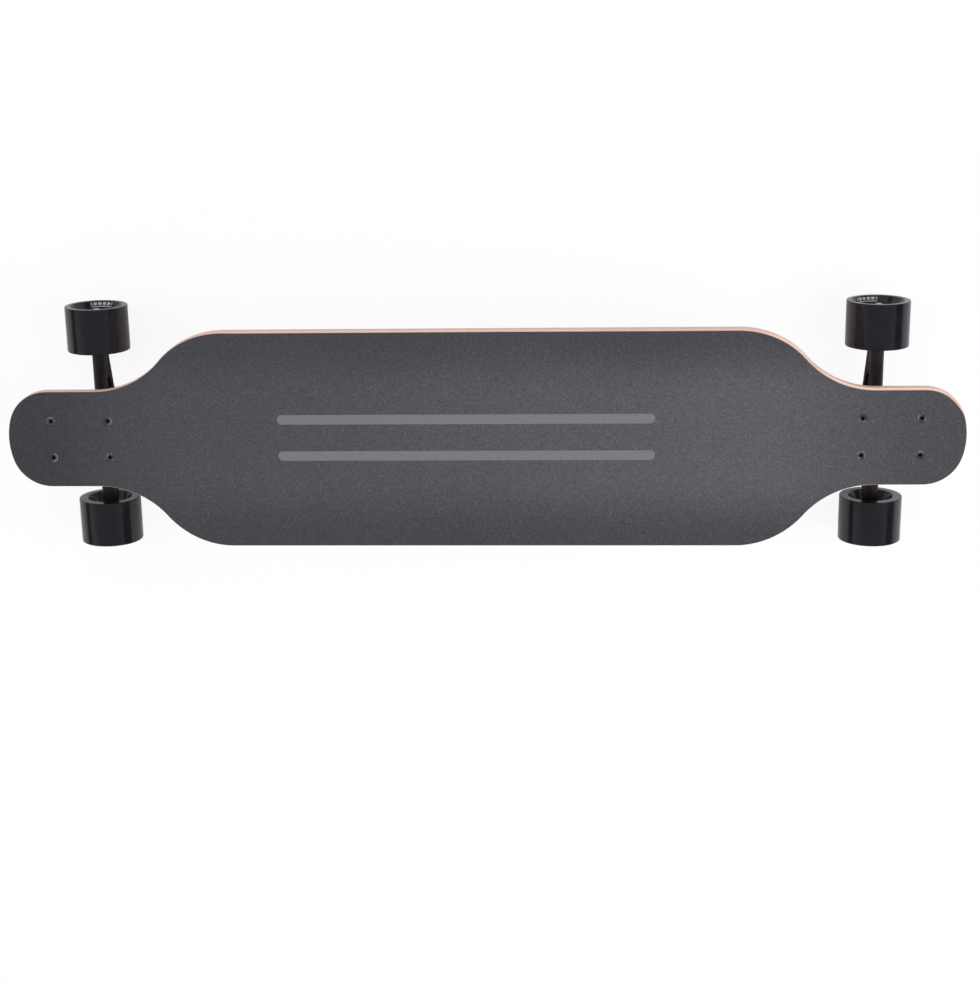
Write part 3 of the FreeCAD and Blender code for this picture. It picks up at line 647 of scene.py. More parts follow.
# Mounting hardware: four countersunk socket bolts pass through deck and baseplate at each end, and a lock
# nut with a nylon ring holds each one from below. Black oxide on the bolts, bright zinc on the nuts.
bolt_length = 0.0268
bolt_head_stand = 0.0005
bolt_head_radius = 0.0049
bolt_shank_radius = 0.0024
bolt_socket_flats = 0.0032
bolt_socket_depth = 0.0022
bolt_socket_point = 0.0006
bolt_socket_chamfer = 0.0002
bolt_rim_round = 0.0004
bolt_rim_middle = (0.0001, 0.00012)
bolt_rim_height = 0.0009
bolt_thread_length = 0.0085
bolt_pitch = 0.0008
bolt_tip_chamfer = 0.0004
bolt_tip_share = 0.8
bolt_columns = 48
thread_depth_share = 0.55
rows_per_pitch = 8
baseplate_thickness = 0.0055
plate_under_z = deck_low.z - baseplate_thickness
row_gap = 1e-7


def turned(profile, start, direction, columns=64, flats=0.0, thread=0.0, pitch=1.0):
    """Surface of revolution about direction from start; profile rows are (radius, distance along). Where
    flats is above 0 the radius is cut back to a hexagon of that width. Where thread is above 0 the radius is
    lowered by thread times a triangular wave that climbs one pitch a turn."""
    profile = np.asarray(profile, float)
    turn = np.linspace(0, 2 * math.pi, columns, endpoint=False)
    radius = profile[:, :1] + np.zeros(columns)
    flats = np.zeros((len(profile), 1)) + np.reshape(flats, (-1, 1))
    thread = np.zeros((len(profile), 1)) + np.reshape(thread, (-1, 1))
    from_side = (turn + math.pi / 6) % (math.pi / 3) - math.pi / 6
    radius = np.where(flats > 0, np.minimum(radius, flats / 2 / np.cos(from_side)), radius)
    climb = (profile[:, 1:] / pitch - turn / (2 * math.pi)) % 1
    radius = radius - thread * np.abs(2 * climb - 1)
    axis = np.array(Vector(direction).normalized())
    side = np.array((0.0, 0.0, 1.0) if abs(axis[1]) > abs(axis[2]) else (0.0, 1.0, 0.0))
    other = np.cross(axis, side)
    spokes = np.cos(turn)[:, None] * side + np.sin(turn)[:, None] * other
    points = np.asarray(start) + profile[:, None, 1:] * axis + radius[:, :, None] * spokes
    along = np.concatenate([[0], np.cumsum(np.linalg.norm(np.diff(profile, axis=0), axis=1))])
    row, column = np.meshgrid(np.arange(len(profile) - 1), np.arange(columns), indexing="ij")
    corners = [(column, row), (column + 1, row), (column + 1, row + 1), (column, row + 1)]
    around_along = np.stack([np.stack([c / columns, along[r]], -1) for c, r in corners], 2)
    return points.reshape(-1, 3), grid_faces(len(profile), columns), around_along.reshape(-1, 2)


def rounded(corners, cuts, closed=True, steps=6):
    """Profile through corners (radius, distance); each corner becomes the parabola that touches both its
    sides at cut from the corner. A closed profile ends on its first row."""
    corners = np.asarray(corners, float)
    back = np.roll(corners, 1, 0) - corners
    ahead = np.roll(corners, -1, 0) - corners
    cuts = np.asarray(cuts, float)[:, None]
    back *= cuts / np.linalg.norm(back, axis=1, keepdims=True)
    ahead *= cuts / np.linalg.norm(ahead, axis=1, keepdims=True)
    share = np.linspace(0, 1, steps)[None, :, None]
    rows = corners[:, None] + back[:, None] * (1 - share) ** 2 + ahead[:, None] * share ** 2
    rows = rows.reshape(-1, 2)
    separate = np.linalg.norm(np.diff(rows, axis=0), axis=1) > row_gap
    rows = rows[np.concatenate([[True], separate])]
    return np.concatenate([rows, rows[:1]]) if closed else rows


def threaded_rod(rows_before, radius, start_station, end_station, pitch, tip_rows):
    """Profile and thread depths: plain rows, then closely spaced rows that carry the thread, then a tip."""
    ridges = np.arange(start_station, end_station, pitch / rows_per_pitch)
    profile = rows_before + [(radius, station) for station in ridges] + tip_rows
    depth = pitch * thread_depth_share
    thread = [0] * len(rows_before) + [depth] * len(ridges) + [0] * len(tip_rows)
    return profile, thread


def socket_bolt(place):
    """Countersunk bolt from its head down: hexagonal socket, flat head, short rim, cone, shank and thread."""
    head_top = (place[0], place[1], deck_top_z + bolt_head_stand)
    cone_end = bolt_rim_height + bolt_head_radius - bolt_shank_radius
    corner = bolt_socket_flats / math.sqrt(3)
    head = [(0, bolt_socket_depth + bolt_socket_point), (corner, bolt_socket_depth),
            (corner, bolt_socket_chamfer), (corner + bolt_socket_chamfer, 0),
            (bolt_head_radius - bolt_rim_round, 0),
            (bolt_head_radius - bolt_rim_middle[0], bolt_rim_middle[1]),
            (bolt_head_radius, bolt_rim_round), (bolt_head_radius, bolt_rim_height),
            (bolt_shank_radius, cone_end)]
    tip = [(bolt_shank_radius * bolt_tip_share, bolt_length), (0, bolt_length)]
    profile, thread = threaded_rod(head, bolt_shank_radius, bolt_length - bolt_thread_length,
                                   bolt_length - bolt_tip_chamfer, bolt_pitch, tip)
    flats = [0] + [bolt_socket_flats] * 2 + [0] * (len(profile) - 3)
    return turned(profile, head_top, (0, 0, -1), bolt_columns, flats, thread, bolt_pitch)


nut_bore_bevel = 0.0004
nut_face_share = 0.97
nut_bevel_share = 0.09
nut_shoulder_share = 0.67
nut_hex_share = 0.74
nut_step_share = 0.76
nut_collar_share = 0.93
collar_bend_shares = ((1.0, 0.90), (0.97, 0.96), (0.90, 1.0))
nut_lip_share = 0.45
nut_lip_height_share = 0.985
nut_seat_share = 0.86
nut_columns = 96
ring_height_shares = (0.80, 0.93)
ring_bite = 0.0001
ring_tuck = 0.0002
ring_cuts = (0.0001, 0.0001, 0.0001, 0.0003)
ring_columns = 48


def lock_nut(flats, height, bore, start, direction):
    """Nut and its nylon ring: a hexagon with chamfered ends, then a round collar rolled in over the ring."""
    corner = flats / math.sqrt(3)
    half = flats / 2
    collar = nut_collar_share * half
    lip = bore + nut_lip_share * (half - bore)
    seat = nut_seat_share * height
    hexagon = [(half * nut_face_share, 0), (corner, nut_bevel_share * height),
               (corner, nut_shoulder_share * height), (half, nut_hex_share * height)]
    bend = [(collar * inward, height * up) for inward, up in collar_bend_shares]
    profile = ([(bore, nut_bore_bevel), (bore + nut_bore_bevel, 0)] + hexagon
               + [(collar, nut_step_share * height)] + bend
               + [(lip, nut_lip_height_share * height), (lip, seat), (bore, seat), (bore, nut_bore_bevel)])
    hexed = [0, 0] + [flats] * len(hexagon) + [0] * (len(profile) - len(hexagon) - 2)
    low, high = (share * height for share in ring_height_shares)
    inner, outer = bore - ring_bite, lip + ring_tuck
    ring = rounded([(inner, low), (outer, low), (outer, high), (inner, high)], ring_cuts)
    return (turned(profile, start, direction, nut_columns, hexed),
            turned(ring, start, direction, ring_columns))


oxide_black = (0.085, 0.085, 0.09, 1)
oxide_worn = (0.13, 0.13, 0.135, 1)
worn_rim = (0.64, 0.64, 0.65, 1)
# Painted shade: the near-black colour painted into each bolt's socket.
socket_painted_shade = (0.004, 0.004, 0.005, 1)
zinc_bright = (0.66, 0.67, 0.69, 1)
zinc_dull = (0.45, 0.45, 0.46, 1)
steel_grain = (1800.0, 1400.0, 160.0)
steel_patches = (0.35, 0.65)
steel_scuffs = (0.55, 0.75)
steel_relief = 0.00002
oxide_roughness = (0.32, 0.5)
oxide_scuff_share = 0.05
zinc_roughness = (0.22, 0.38)
zinc_scuff_share = 0.2


def steel_material(name, light, dark, roughness, scuff_share):
    """Plated or oxidised steel: slow patches between two tones, fine relief, and brighter scuffs."""
    material, tree, shader = start_material(name, {"Metallic": 1.0})
    fine = grain(tree, *steel_grain)
    colour = mixed(tree, spread(tree, fine["Patches"], *steel_patches), light, dark)
    colour = mixed(tree, spread(tree, fine["Noise"], *steel_scuffs, 0.0, scuff_share), colour, zinc_bright)
    dressed(tree, shader, colour, fine["Patches"], roughness, fine["Noise"], steel_relief)
    return material


worn_rim_width = 0.0012
rim_grain = (1800.0, 700.0, 160.0)
rim_blur = 0.0002
rim_noise = (0.35, 0.6)
rim_noise_shares = (0.4, 1.0)
rim_patches = (0.40, 0.60)
rim_patch_shares = (0.15, 1.0)
socket_blur = 0.0001


def bolt_material(socket_end, rim_start, rim_end):
    """Black oxide steel whose head is worn bright along its rim, where the section's own length lies between
    the two ends. Patches and noise break the wear up, and the socket, the section's first part, is painted
    near black as shade."""
    material = steel_material("black_oxide_steel", oxide_black, oxide_worn, oxide_roughness,
                              oxide_scuff_share)
    tree = material.node_tree
    shader = tree.nodes["Principled BSDF"]
    fine = grain(tree, *rim_grain)
    section = add(tree, "SeparateXYZ", {0: add(tree, "UVMap", {}, uv_map="around_along").outputs[0]})
    along = section.outputs["Y"]
    away = apart(tree, along, (rim_start + rim_end) / 2)
    half = (rim_end - rim_start) / 2
    rim = spread(tree, away, half + rim_blur, half - rim_blur)
    rim = maths(tree, "MULTIPLY", rim, spread(tree, fine["Noise"], *rim_noise, *rim_noise_shares))
    rim = maths(tree, "MULTIPLY", rim, spread(tree, fine["Patches"], *rim_patches, *rim_patch_shares))
    plain = shader.inputs["Base Color"].links[0].from_socket
    colour = mixed(tree, rim, plain, worn_rim)
    # Painted shade: the socket is painted near black.
    in_socket = spread(tree, along, socket_end + socket_blur, socket_end - socket_blur)
    tree.links.new(mixed(tree, in_socket, colour, socket_painted_shade), shader.inputs["Base Color"])
    return material


nylon_white = (0.62, 0.63, 0.62, 1)
nylon_stained = (0.48, 0.48, 0.46, 1)
nylon_depth = {"Subsurface Weight": 0.1, "Subsurface Scale": 0.001}
nylon_grain = (2500.0, 1500.0, 300.0)
nylon_patches = (0.4, 0.7)
nylon_roughness = (0.4, 0.55)
nylon_relief = 0.00003


def nylon_material():
    """Off-white nylon, slightly stained in patches, with a fine moulded grain."""
    material, tree, shader = start_material("nylon_ring", nylon_depth)
    fine = grain(tree, *nylon_grain)
    colour = mixed(tree, spread(tree, fine["Patches"], *nylon_patches), nylon_white, nylon_stained)
    dressed(tree, shader, colour, fine["Noise"], nylon_roughness, fine["Noise"], nylon_relief)
    return material


socket_end = bolt_socket_depth + bolt_socket_flats / math.sqrt(3)
rim_end = bolt_socket_depth + bolt_head_radius
black_oxide = bolt_material(socket_end, rim_end - worn_rim_width, rim_end)
bright_zinc = steel_material("bright_zinc", zinc_bright, zinc_dull, zinc_roughness, zinc_scuff_share)
nylon = nylon_material()
mounting_nut_flats = 0.0095
mounting_nut_height = 0.0058
for end, sign in (("front", 1), ("rear", -1)):
    places = bolt_places[bolt_places[:, 0] * sign > 0]
    bolts = mesh_piece(end + "_socket_bolts", [socket_bolt(place) for place in places], black_oxide)
    stands_for(bolts, "board", end + "_mounting_bolts")
    pairs = [lock_nut(mounting_nut_flats, mounting_nut_height, bolt_shank_radius,
                      (place[0], place[1], plate_under_z), (0, 0, -1)) for place in places]
    nuts = mesh_piece(end + "_deck_nuts", [nut for nut, ring in pairs], bright_zinc)
    stands_for(nuts, "board", end + "_mounting_nuts")
    rings = mesh_piece(end + "_deck_nut_rings", [ring for nut, ring in pairs], nylon)
    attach(rings, "board")

# Kingpin stack: a hex-headed steel bolt hangs from its pocket in the baseplate and carries, in order, a cup
# washer, a barrel bushing, the hanger's ring, a cone bushing, a smaller cup washer and a lock nut.
ring_half_web = 0.004
barrel_height = 0.015
cone_height = 0.013
bushing_radius = 0.0125
cone_tip_radius = 0.00975
bushing_bore = 0.00505
bushing_edge = 0.0016
bushing_bore_cut = 0.0004
bushing_side_rows = 9
bushing_clear_share = 1.2
bushing_columns = 72
washer_thickness = 0.0015
washer_rim = 0.002
washer_overhang = 0.0018
washer_clearance = 0.0003
washer_bore_play = 0.0001
washer_cuts = (0.0002, 0.0009, 0.0005, 0.0005, 0.0006, 0.0002)
kingpin_radius = 0.00475
kingpin_grip = 0.018
kingpin_head_flats = 0.0143
kingpin_head_height = 0.006
kingpin_head_face = 0.0065
kingpin_head_bevel = 0.0006
kingpin_seat_bevel = (0.0004, 0.0003)
kingpin_nut_height = 0.008
kingpin_tip_stand = 0.0025
kingpin_chamfer = 0.0006
kingpin_thread_length = 0.013
kingpin_pitch = 0.00106
kingpin_columns = 64
bushing_black = (0.022, 0.022, 0.024, 1)
bushing_bloom = (0.050, 0.050, 0.053, 1)
bushing_depth = {"Subsurface Weight": 0.05, "Subsurface Scale": 0.001}
bushing_grain = (2000.0, 1300.0, 120.0)
bushing_patches = (0.45, 0.75)
bushing_roughness = (0.3, 0.44)
bushing_relief = 0.00004
joints = {joint["name"]: joint for joint in frame["joints"]}


def steering_frame(end):
    """Ring centre and the direction along the kingpin towards the road, square to the steering axis."""
    joint = joints[end + "_steer"]
    axis = np.array(joint["axis"])
    to_road = np.array((axis[2] * np.sign(axis[0]), 0, -abs(axis[0])))
    return np.array(joint["pos_m"]), to_road


def kingpin_shells(centre, to_road):
    """Hexagonal head and round shank from under the head to past the nut, its last part threaded."""
    under_head = centre - to_road * (ring_half_web + barrel_height + washer_thickness + kingpin_grip)
    length = (kingpin_grip + barrel_height + cone_height + 2 * ring_half_web + 2 * washer_thickness
              + kingpin_nut_height + kingpin_tip_stand)
    corner = kingpin_head_flats / math.sqrt(3)
    bevel_in, bevel_up = kingpin_seat_bevel
    head = [(0, -kingpin_head_height), (kingpin_head_face, -kingpin_head_height),
            (corner, kingpin_head_bevel - kingpin_head_height), (corner, -bevel_up),
            (corner - bevel_in, 0), (0, 0)]
    tip = [(kingpin_radius - kingpin_chamfer, length), (0, length)]
    profile, thread = threaded_rod([(0, 0), (kingpin_radius, 0)], kingpin_radius,
                                   length - kingpin_thread_length, length - kingpin_chamfer,
                                   kingpin_pitch, tip)
    return [turned(head, under_head, to_road, nut_columns, kingpin_head_flats),
            turned(profile, under_head, to_road, kingpin_columns, 0, thread, kingpin_pitch)]


def bushing_shell(near_radius, far_radius, height, start, direction):
    """Barrel or cone with rounded ends, bored through, with extra rows along its side between its ends."""
    corners = [(bushing_bore, 0), (near_radius, 0), (far_radius, height), (bushing_bore, height)]
    profile = rounded(corners, [bushing_bore_cut, bushing_edge, bushing_edge, bushing_bore_cut])
    share = np.linspace(0, 1, bushing_side_rows)[1:-1]
    side = np.column_stack([near_radius + (far_radius - near_radius) * share, height * share])
    clear = bushing_edge * bushing_clear_share
    middle = side[(side[:, 1] > clear) & (side[:, 1] < height - clear)]
    outer_rows = [row for row in range(len(profile) - 1)
                  if profile[row, 1] < height / 2 and profile[row, 0] > (bushing_bore + near_radius) / 2]
    split = max(outer_rows) + 1
    section = np.concatenate([profile[:split], middle, profile[split:]])
    return turned(section, start, direction, bushing_columns)


def cup_washer_shell(cupped_radius, back, direction):
    """Pressed washer: flat disc with a bore, its rim turned up along direction, edges rounded."""
    inner = cupped_radius + washer_clearance
    outer = inner + washer_overhang
    bore = kingpin_radius + washer_bore_play
    top = washer_thickness + washer_rim
    corners = [(bore, 0), (outer, 0), (outer, top), (inner, top), (inner, washer_thickness),
               (bore, washer_thickness)]
    return turned(rounded(corners, washer_cuts), back, direction, bushing_columns)


def bushing_material():
    """Poured urethane: near-black, a faint pale bloom in patches, satin with fine mould texture."""
    material, tree, shader = start_material("bushing_urethane", bushing_depth)
    fine = grain(tree, *bushing_grain)
    colour = mixed(tree, spread(tree, fine["Patches"], *bushing_patches), bushing_black, bushing_bloom)
    dressed(tree, shader, colour, fine["Noise"], bushing_roughness, fine["Noise"], bushing_relief)
    return material


def merged_copy(name, node, material, sharp_degrees=30):
    """Smooth copy of a CAD node, merged, sharp only across edges over the angle."""
    mesh = merged_mesh(node)
    mesh.shade_smooth()
    mesh.set_sharp_from_angle(angle=math.radians(sharp_degrees))
    mesh.materials.clear()
    mesh.materials.append(material)
    return placed(name, mesh)


bushing_urethane = bushing_material()
bushings = (("_barrel", "_boardside_bushing", -1, barrel_height, bushing_radius),
            ("_cone", "_roadside_bushing", 1, cone_height, cone_tip_radius))
for end in ends:
    centre, to_road = steering_frame(end)
    seat = centre - to_road * (ring_half_web + barrel_height + washer_thickness)
    nut_face = centre + to_road * (ring_half_web + cone_height + washer_thickness)
    kingpin = mesh_piece(end + "_king_bolt", kingpin_shells(centre, to_road), bright_zinc)
    stands_for(kingpin, "board", end + "_kingpin")
    nut, ring = lock_nut(kingpin_head_flats, kingpin_nut_height, kingpin_radius, nut_face, to_road)
    king_nut = mesh_piece(end + "_king_nut", [nut], bright_zinc)
    stands_for(king_nut, "board", end + "_kingpin_nut")
    king_ring = mesh_piece(end + "_king_nut_ring", [ring], nylon)
    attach(king_ring, "board")
    wide_cup = cup_washer_shell(bushing_radius, seat, to_road)
    wide = mesh_piece(end + "_wide_cup_washer", [wide_cup], bright_zinc)
    stands_for(wide, "board", end + "_boardside_washer")
    cupped = cone_tip_radius + (bushing_radius - cone_tip_radius) * washer_rim / cone_height
    small_cup = cup_washer_shell(cupped, nut_face, -to_road)
    small = mesh_piece(end + "_small_cup_washer", [small_cup], bright_zinc)
    stands_for(small, "board", end + "_roadside_washer")
    for name, node, way, height, far_radius in bushings:
        near = centre + to_road * way * ring_half_web
        far = near + to_road * way * height
        shell = bushing_shell(bushing_radius, far_radius, height, near, to_road * way)
        bushing = mesh_piece(end + name + "_bushing", [shell], bushing_urethane)
        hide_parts(end + node)
        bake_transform(bushing)
    cup = merged_copy(end + "_pivot_socket", end + "_pivot_cup", bushing_urethane)
    stands_for(cup, "board", end + "_pivot_cup")

# Hangers: the casting that tilts in each truck, with a ring round the bushings, a pivot pin and two arms that
# carry the axle. Same casting and black powder coat as the baseplates.
for end in ends:
    hanger = cast_copy(end + "_cast_hanger", end + "_hanger", powder_coat)
    stands_for(hanger, end + "_truck", end + "_hanger")

# Axles: a steel rod pressed through each hanger, threaded at both ends for the lock nuts that clamp the
# washers, bearings and spacer of each wheel. Bright zinc on rod and washers, black zinc on the nuts.
axle_radius = 0.004
axle_chamfer = 0.0006
axle_thread_length = 0.012
axle_pitch = 0.00106
axle_columns = 48
axle_nut_flats = 0.0127
axle_nut_height = 0.008
axle_bore = 0.00405
speed_washer_radius = 0.0056
speed_washer_thickness = 0.001
speed_washer_cuts = (0.0001, 0.00025, 0.00025, 0.0001)
hanger_half_width = 0.098
outer_washer_y = 0.123
sides = (("left", 1), ("right", -1))
black_zinc = (0.11, 0.11, 0.115, 1)
black_zinc_scuffed = (0.17, 0.17, 0.175, 1)
black_zinc_roughness = (0.28, 0.42)
black_zinc_scuff_share = 0.08
dark_zinc = steel_material("black_zinc", black_zinc, black_zinc_scuffed, black_zinc_roughness,
                           black_zinc_scuff_share)


def axle_shell(centre, half):
    """Rod from one chamfered end to the other: threaded, plain in the middle, threaded again."""
    tip_radius = axle_radius - axle_chamfer
    first, first_thread = threaded_rod([(0, -half), (tip_radius, -half)], axle_radius, axle_chamfer - half,
                                       axle_thread_length - half, axle_pitch, [])
    second, second_thread = threaded_rod([], axle_radius, half - axle_thread_length, half - axle_chamfer,
                                         axle_pitch, [(tip_radius, half), (0, half)])
    thread = first_thread + second_thread
    return turned(first + second, centre, (0, 1, 0), axle_columns, 0, thread, axle_pitch)


washer_section = rounded([(axle_bore, 0), (speed_washer_radius, 0),
                          (speed_washer_radius, speed_washer_thickness), (axle_bore, speed_washer_thickness)],
                         speed_washer_cuts)
nut_seat_y = outer_washer_y + speed_washer_thickness
for end in ends:
    truck = end + "_truck"
    low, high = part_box(end + "_axle")
    centre = (low + high) / 2
    axle = mesh_piece(end + "_threaded_axle", [axle_shell(centre, high.y)], bright_zinc)
    stands_for(axle, truck, end + "_axle")
    washers, nuts, rings = [], [], []
    for side, sign in sides:
        for station in (hanger_half_width, outer_washer_y):
            start = (centre.x, sign * station, centre.z)
            washers.append(turned(washer_section, start, (0, sign, 0), axle_columns))
        nut, ring = lock_nut(axle_nut_flats, axle_nut_height, axle_radius,
                             (centre.x, sign * nut_seat_y, centre.z), (0, sign, 0))
        nuts.append(nut)
        rings.append(ring)
    thin_washers = mesh_piece(end + "_thin_washers", washers, bright_zinc)
    stands_for(thin_washers, truck, end + "_speed_washers")
    wheel_nuts = mesh_piece(end + "_wheel_nuts", nuts, dark_zinc)
    stands_for(wheel_nuts, truck, end + "_axle_nuts")
    nut_rings = mesh_piece(end + "_wheel_nut_rings", rings, bushing_urethane)
    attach(nut_rings, truck)

# Wheels: black urethane poured round a moulded core and turned to a flat tread with square lips, dished on
# both faces. Two short rows of plain pale dashes, each over a thin line, are pad-printed in the outer dish.
wheel_inner_y = 0.0863
core_start_y = 0.0985
core_end_y = 0.1235
inner_mouth = 0.025
outer_mouth = 0.029
core_radius = 0.019
core_shoulder = 0.020
lip_cut = 0.0013
inner_seat_cut = 0.0006
outer_seat_cut = 0.0008
corner_steps = 8
wheel_columns = 144
row_tolerance = 1e-6
mouth_reach = 0.002
tread_black = (0.0050, 0.0046, 0.0098, 1)
tread_dusty = (0.0076, 0.0072, 0.0126, 1)
tread_specular = 0.42
tread_grain = (1500.0, 900.0, 60.0)
tread_patches = (0.4, 0.75)
tread_roughness = (0.14, 0.21)
tread_relief = 0.000025
print_white = (0.62, 0.62, 0.63, 1)
print_rows = 2.0
print_count = 32.0
print_reach = 0.075
print_reach_blur = 0.004
dash_edges = (0.36, 0.33)
dash_inset = 0.0030
dash_width = 0.0032
line_inset = 0.0075
line_width = 0.0010
print_blur = 0.0001
print_wear = (0.2, 0.35)
print_wear_shares = (0.5, 1.0)
print_turns = {"front_left": -0.06, "front_right": 0.13, "rear_left": 0.0, "rear_right": 0.21}


def tyre_profile(radius, width):
    """Closed section of a wheel: from the core's inner end round the inner lip, tread, outer lip and dish."""
    start = core_start_y - wheel_inner_y
    end = core_end_y - wheel_inner_y
    corners = [(core_radius, start), (core_shoulder, start), (inner_mouth, 0), (radius, 0), (radius, width),
               (outer_mouth, width), (core_shoulder, end), (core_radius, end)]
    cuts = [0, inner_seat_cut, lip_cut, lip_cut, lip_cut, lip_cut, outer_seat_cut, 0]
    return rounded(corners, cuts, steps=corner_steps)


def urethane_material(mouth_along):
    """Glossy black urethane with slow dusty patches and fine ground texture. In the outer dish, at the given
    lengths past the mouth, two opposite stretches of the turn carry a row of pale dashes over a thin line."""
    material, tree, shader = start_material("wheel_urethane", {"Specular IOR Level": tread_specular})
    fine = grain(tree, *tread_grain)
    around = add(tree, "SeparateXYZ", {0: add(tree, "UVMap", {}, uv_map="around_along").outputs[0]})
    row_turn = maths(tree, "ADD", maths(tree, "MULTIPLY", around.outputs["X"], print_rows), 0.5)
    from_middle = apart(tree, maths(tree, "FRACT", row_turn), 0.5)
    row_reach = print_rows * print_reach
    stretch = spread(tree, from_middle, row_reach + print_reach_blur, row_reach - print_reach_blur)
    dash_turn = maths(tree, "FRACT", maths(tree, "MULTIPLY", around.outputs["X"], print_count))
    dash = spread(tree, apart(tree, dash_turn, 0.5), *dash_edges)
    past_mouth = maths(tree, "SUBTRACT", around.outputs["Y"], mouth_along)
    bands = []
    for inset, width in ((dash_inset, dash_width), (line_inset, line_width)):
        away = apart(tree, past_mouth, inset + width / 2)
        bands.append(spread(tree, away, width / 2 + print_blur, width / 2 - print_blur))
    printed = maths(tree, "MAXIMUM", maths(tree, "MULTIPLY", bands[0], dash), bands[1])
    printed = maths(tree, "MULTIPLY", printed, stretch)
    printed = maths(tree, "MULTIPLY", printed, spread(tree, fine["Noise"], *print_wear, *print_wear_shares))
    colour = mixed(tree, spread(tree, fine["Patches"], *tread_patches), tread_black, tread_dusty)
    colour = mixed(tree, printed, colour, print_white)
    dressed(tree, shader, colour, fine["Patches"], tread_roughness, fine["Noise"], tread_relief)
    return material


wheel_low, wheel_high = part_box("front_left_tyre")
wheel_radius = (wheel_high.z - wheel_low.z) / 2
wheel_width = wheel_high.y - wheel_low.y
section = tyre_profile(wheel_radius, wheel_width)
section_along = np.concatenate([[0], np.cumsum(np.linalg.norm(np.diff(section, axis=0), axis=1))])
on_outer_face = section[:, 1] > wheel_width - row_tolerance
mouth_row = np.flatnonzero(on_outer_face & (section[:, 0] < outer_mouth + mouth_reach)).max()
urethane = urethane_material(section_along[mouth_row])
for end in ends:
    for side, sign in sides:
        name = end + "_" + side
        low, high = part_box(name + "_tyre")
        hub = ((low.x + high.x) / 2, sign * wheel_inner_y, (low.z + high.z) / 2)
        points, faces, around_along = turned(section, hub, (0, sign, 0), wheel_columns)
        around_along = around_along + (print_turns[name], 0)
        tyre = mesh_piece(name + "_wheel_body", [(points, faces, around_along)], urethane)
        stands_for(tyre, name + "_wheel", name + "_tyre")

# Cores: a moulded black plastic hub in each wheel, with a seat for a bearing at both ends and pockets between
# ribs on its two faces, so that the walls stay even in the mould.
bearing_seat = 0.011
core_web = 0.009
bearing_width = 0.007
core_lip = 0.0005
core_edge = 0.0003
core_columns = 240
core_sharp_degrees = 30
pocket_count = 10
pocket_depth = 0.0035
pocket_inner = 0.0132
pocket_outer = 0.0178
pocket_edge_share = 0.15
rib_half_angle = 0.07
rib_fade_angle = 0.03
# Core tones: the plastic's own black, painted darker still as a painted shade of the wheel's dish.
shaded_core_black = (0.008, 0.008, 0.009, 1)
shaded_core_grey = (0.014, 0.014, 0.015, 1)
core_grain = (1700.0, 1600.0, 140.0)
core_patches = (0.4, 0.7)
core_roughness = (0.38, 0.55)
core_relief = 0.00004


def core_shell(hub_x, hub_z, sign):
    """Hub turned from its section; on both faces the rows between the pockets' two radii are sunk by pocket
    depth times a mask that fades to 0 at each rib."""
    edge = core_edge
    seat = bearing_width + core_lip
    length = core_end_y - core_start_y
    face = [bearing_seat + edge, pocket_inner - edge, pocket_inner, pocket_inner + edge,
            pocket_outer - edge, pocket_outer, pocket_outer + edge, core_radius - edge]
    sunk = [0, 0, pocket_edge_share, 1, 1, pocket_edge_share, 0, 0]
    first_seat = [(core_web, seat), (bearing_seat, seat), (bearing_seat, edge)]
    rim = [(core_radius, edge), (core_radius, length - edge)]
    last_seat = [(bearing_seat, length - edge), (bearing_seat, length - seat), (core_web, length - seat),
                 (core_web, seat)]
    rows = (first_seat + [(radius, 0) for radius in face] + rim
            + [(radius, length) for radius in face[::-1]] + last_seat)
    depth = pocket_depth * np.array([0] * len(first_seat) + sunk + [0] * len(rim)
                                    + [-share for share in sunk[::-1]] + [0] * len(last_seat))
    start = (hub_x, sign * core_start_y, hub_z)
    points, faces, around_along = turned(rows, start, (0, sign, 0), core_columns)
    turn = np.linspace(0, 2 * math.pi, core_columns, endpoint=False)
    pitch = 2 * math.pi / pocket_count
    from_rib = np.abs((turn + pitch / 2) % pitch - pitch / 2)
    open_share = np.clip((from_rib - rib_half_angle) / rib_fade_angle, 0, 1)
    points = points.reshape(len(rows), core_columns, 3)
    points[:, :, 1] += sign * depth[:, None] * open_share
    return points.reshape(-1, 3), faces, around_along


def core_material():
    """Glass-filled black plastic: faint grey flow patches, fine moulded texture, satin."""
    material, tree, shader = start_material("core_plastic", {})
    fine = grain(tree, *core_grain)
    # Painted shade: both core tones are painted darker than the plastic.
    colour = mixed(tree, spread(tree, fine["Patches"], *core_patches), shaded_core_black, shaded_core_grey)
    dressed(tree, shader, colour, fine["Noise"], core_roughness, fine["Noise"], core_relief)
    return material


core_plastic = core_material()
for end in ends:
    for side, sign in sides:
        name = end + "_" + side
        low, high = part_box(name + "_core")
        shell = core_shell((low.x + high.x) / 2, (low.z + high.z) / 2, sign)
        core = mesh_piece(name + "_ribbed_core", [shell], core_plastic, core_sharp_degrees)
        stands_for(core, name + "_wheel", name + "_core")

# Bearings: two in each wheel, of the common skate size. Ground steel rings with chamfered corners, and a thin
# pressed shield on each face that hides the balls and their cage.
bearing_radius = 0.011
ring_step = 0.0096
ring_shoulder = 0.009
step_depth = 0.00065
inner_shoulder = 0.006
shield_recess = 0.00025
bearing_starts = (0.099, 0.116)
groove_cut = 0.00005
step_cut = 0.0001
shoulder_cut = 0.0002
race_cut = 0.0004
race_columns = 72
bore_columns = 48
shield_inner = 0.0064
shield_bend = 0.0072
shield_fold = 0.0089
shield_outer = 0.00955
shield_dish = 0.0002
shield_depth = 0.0004
shield_cut = 0.0003
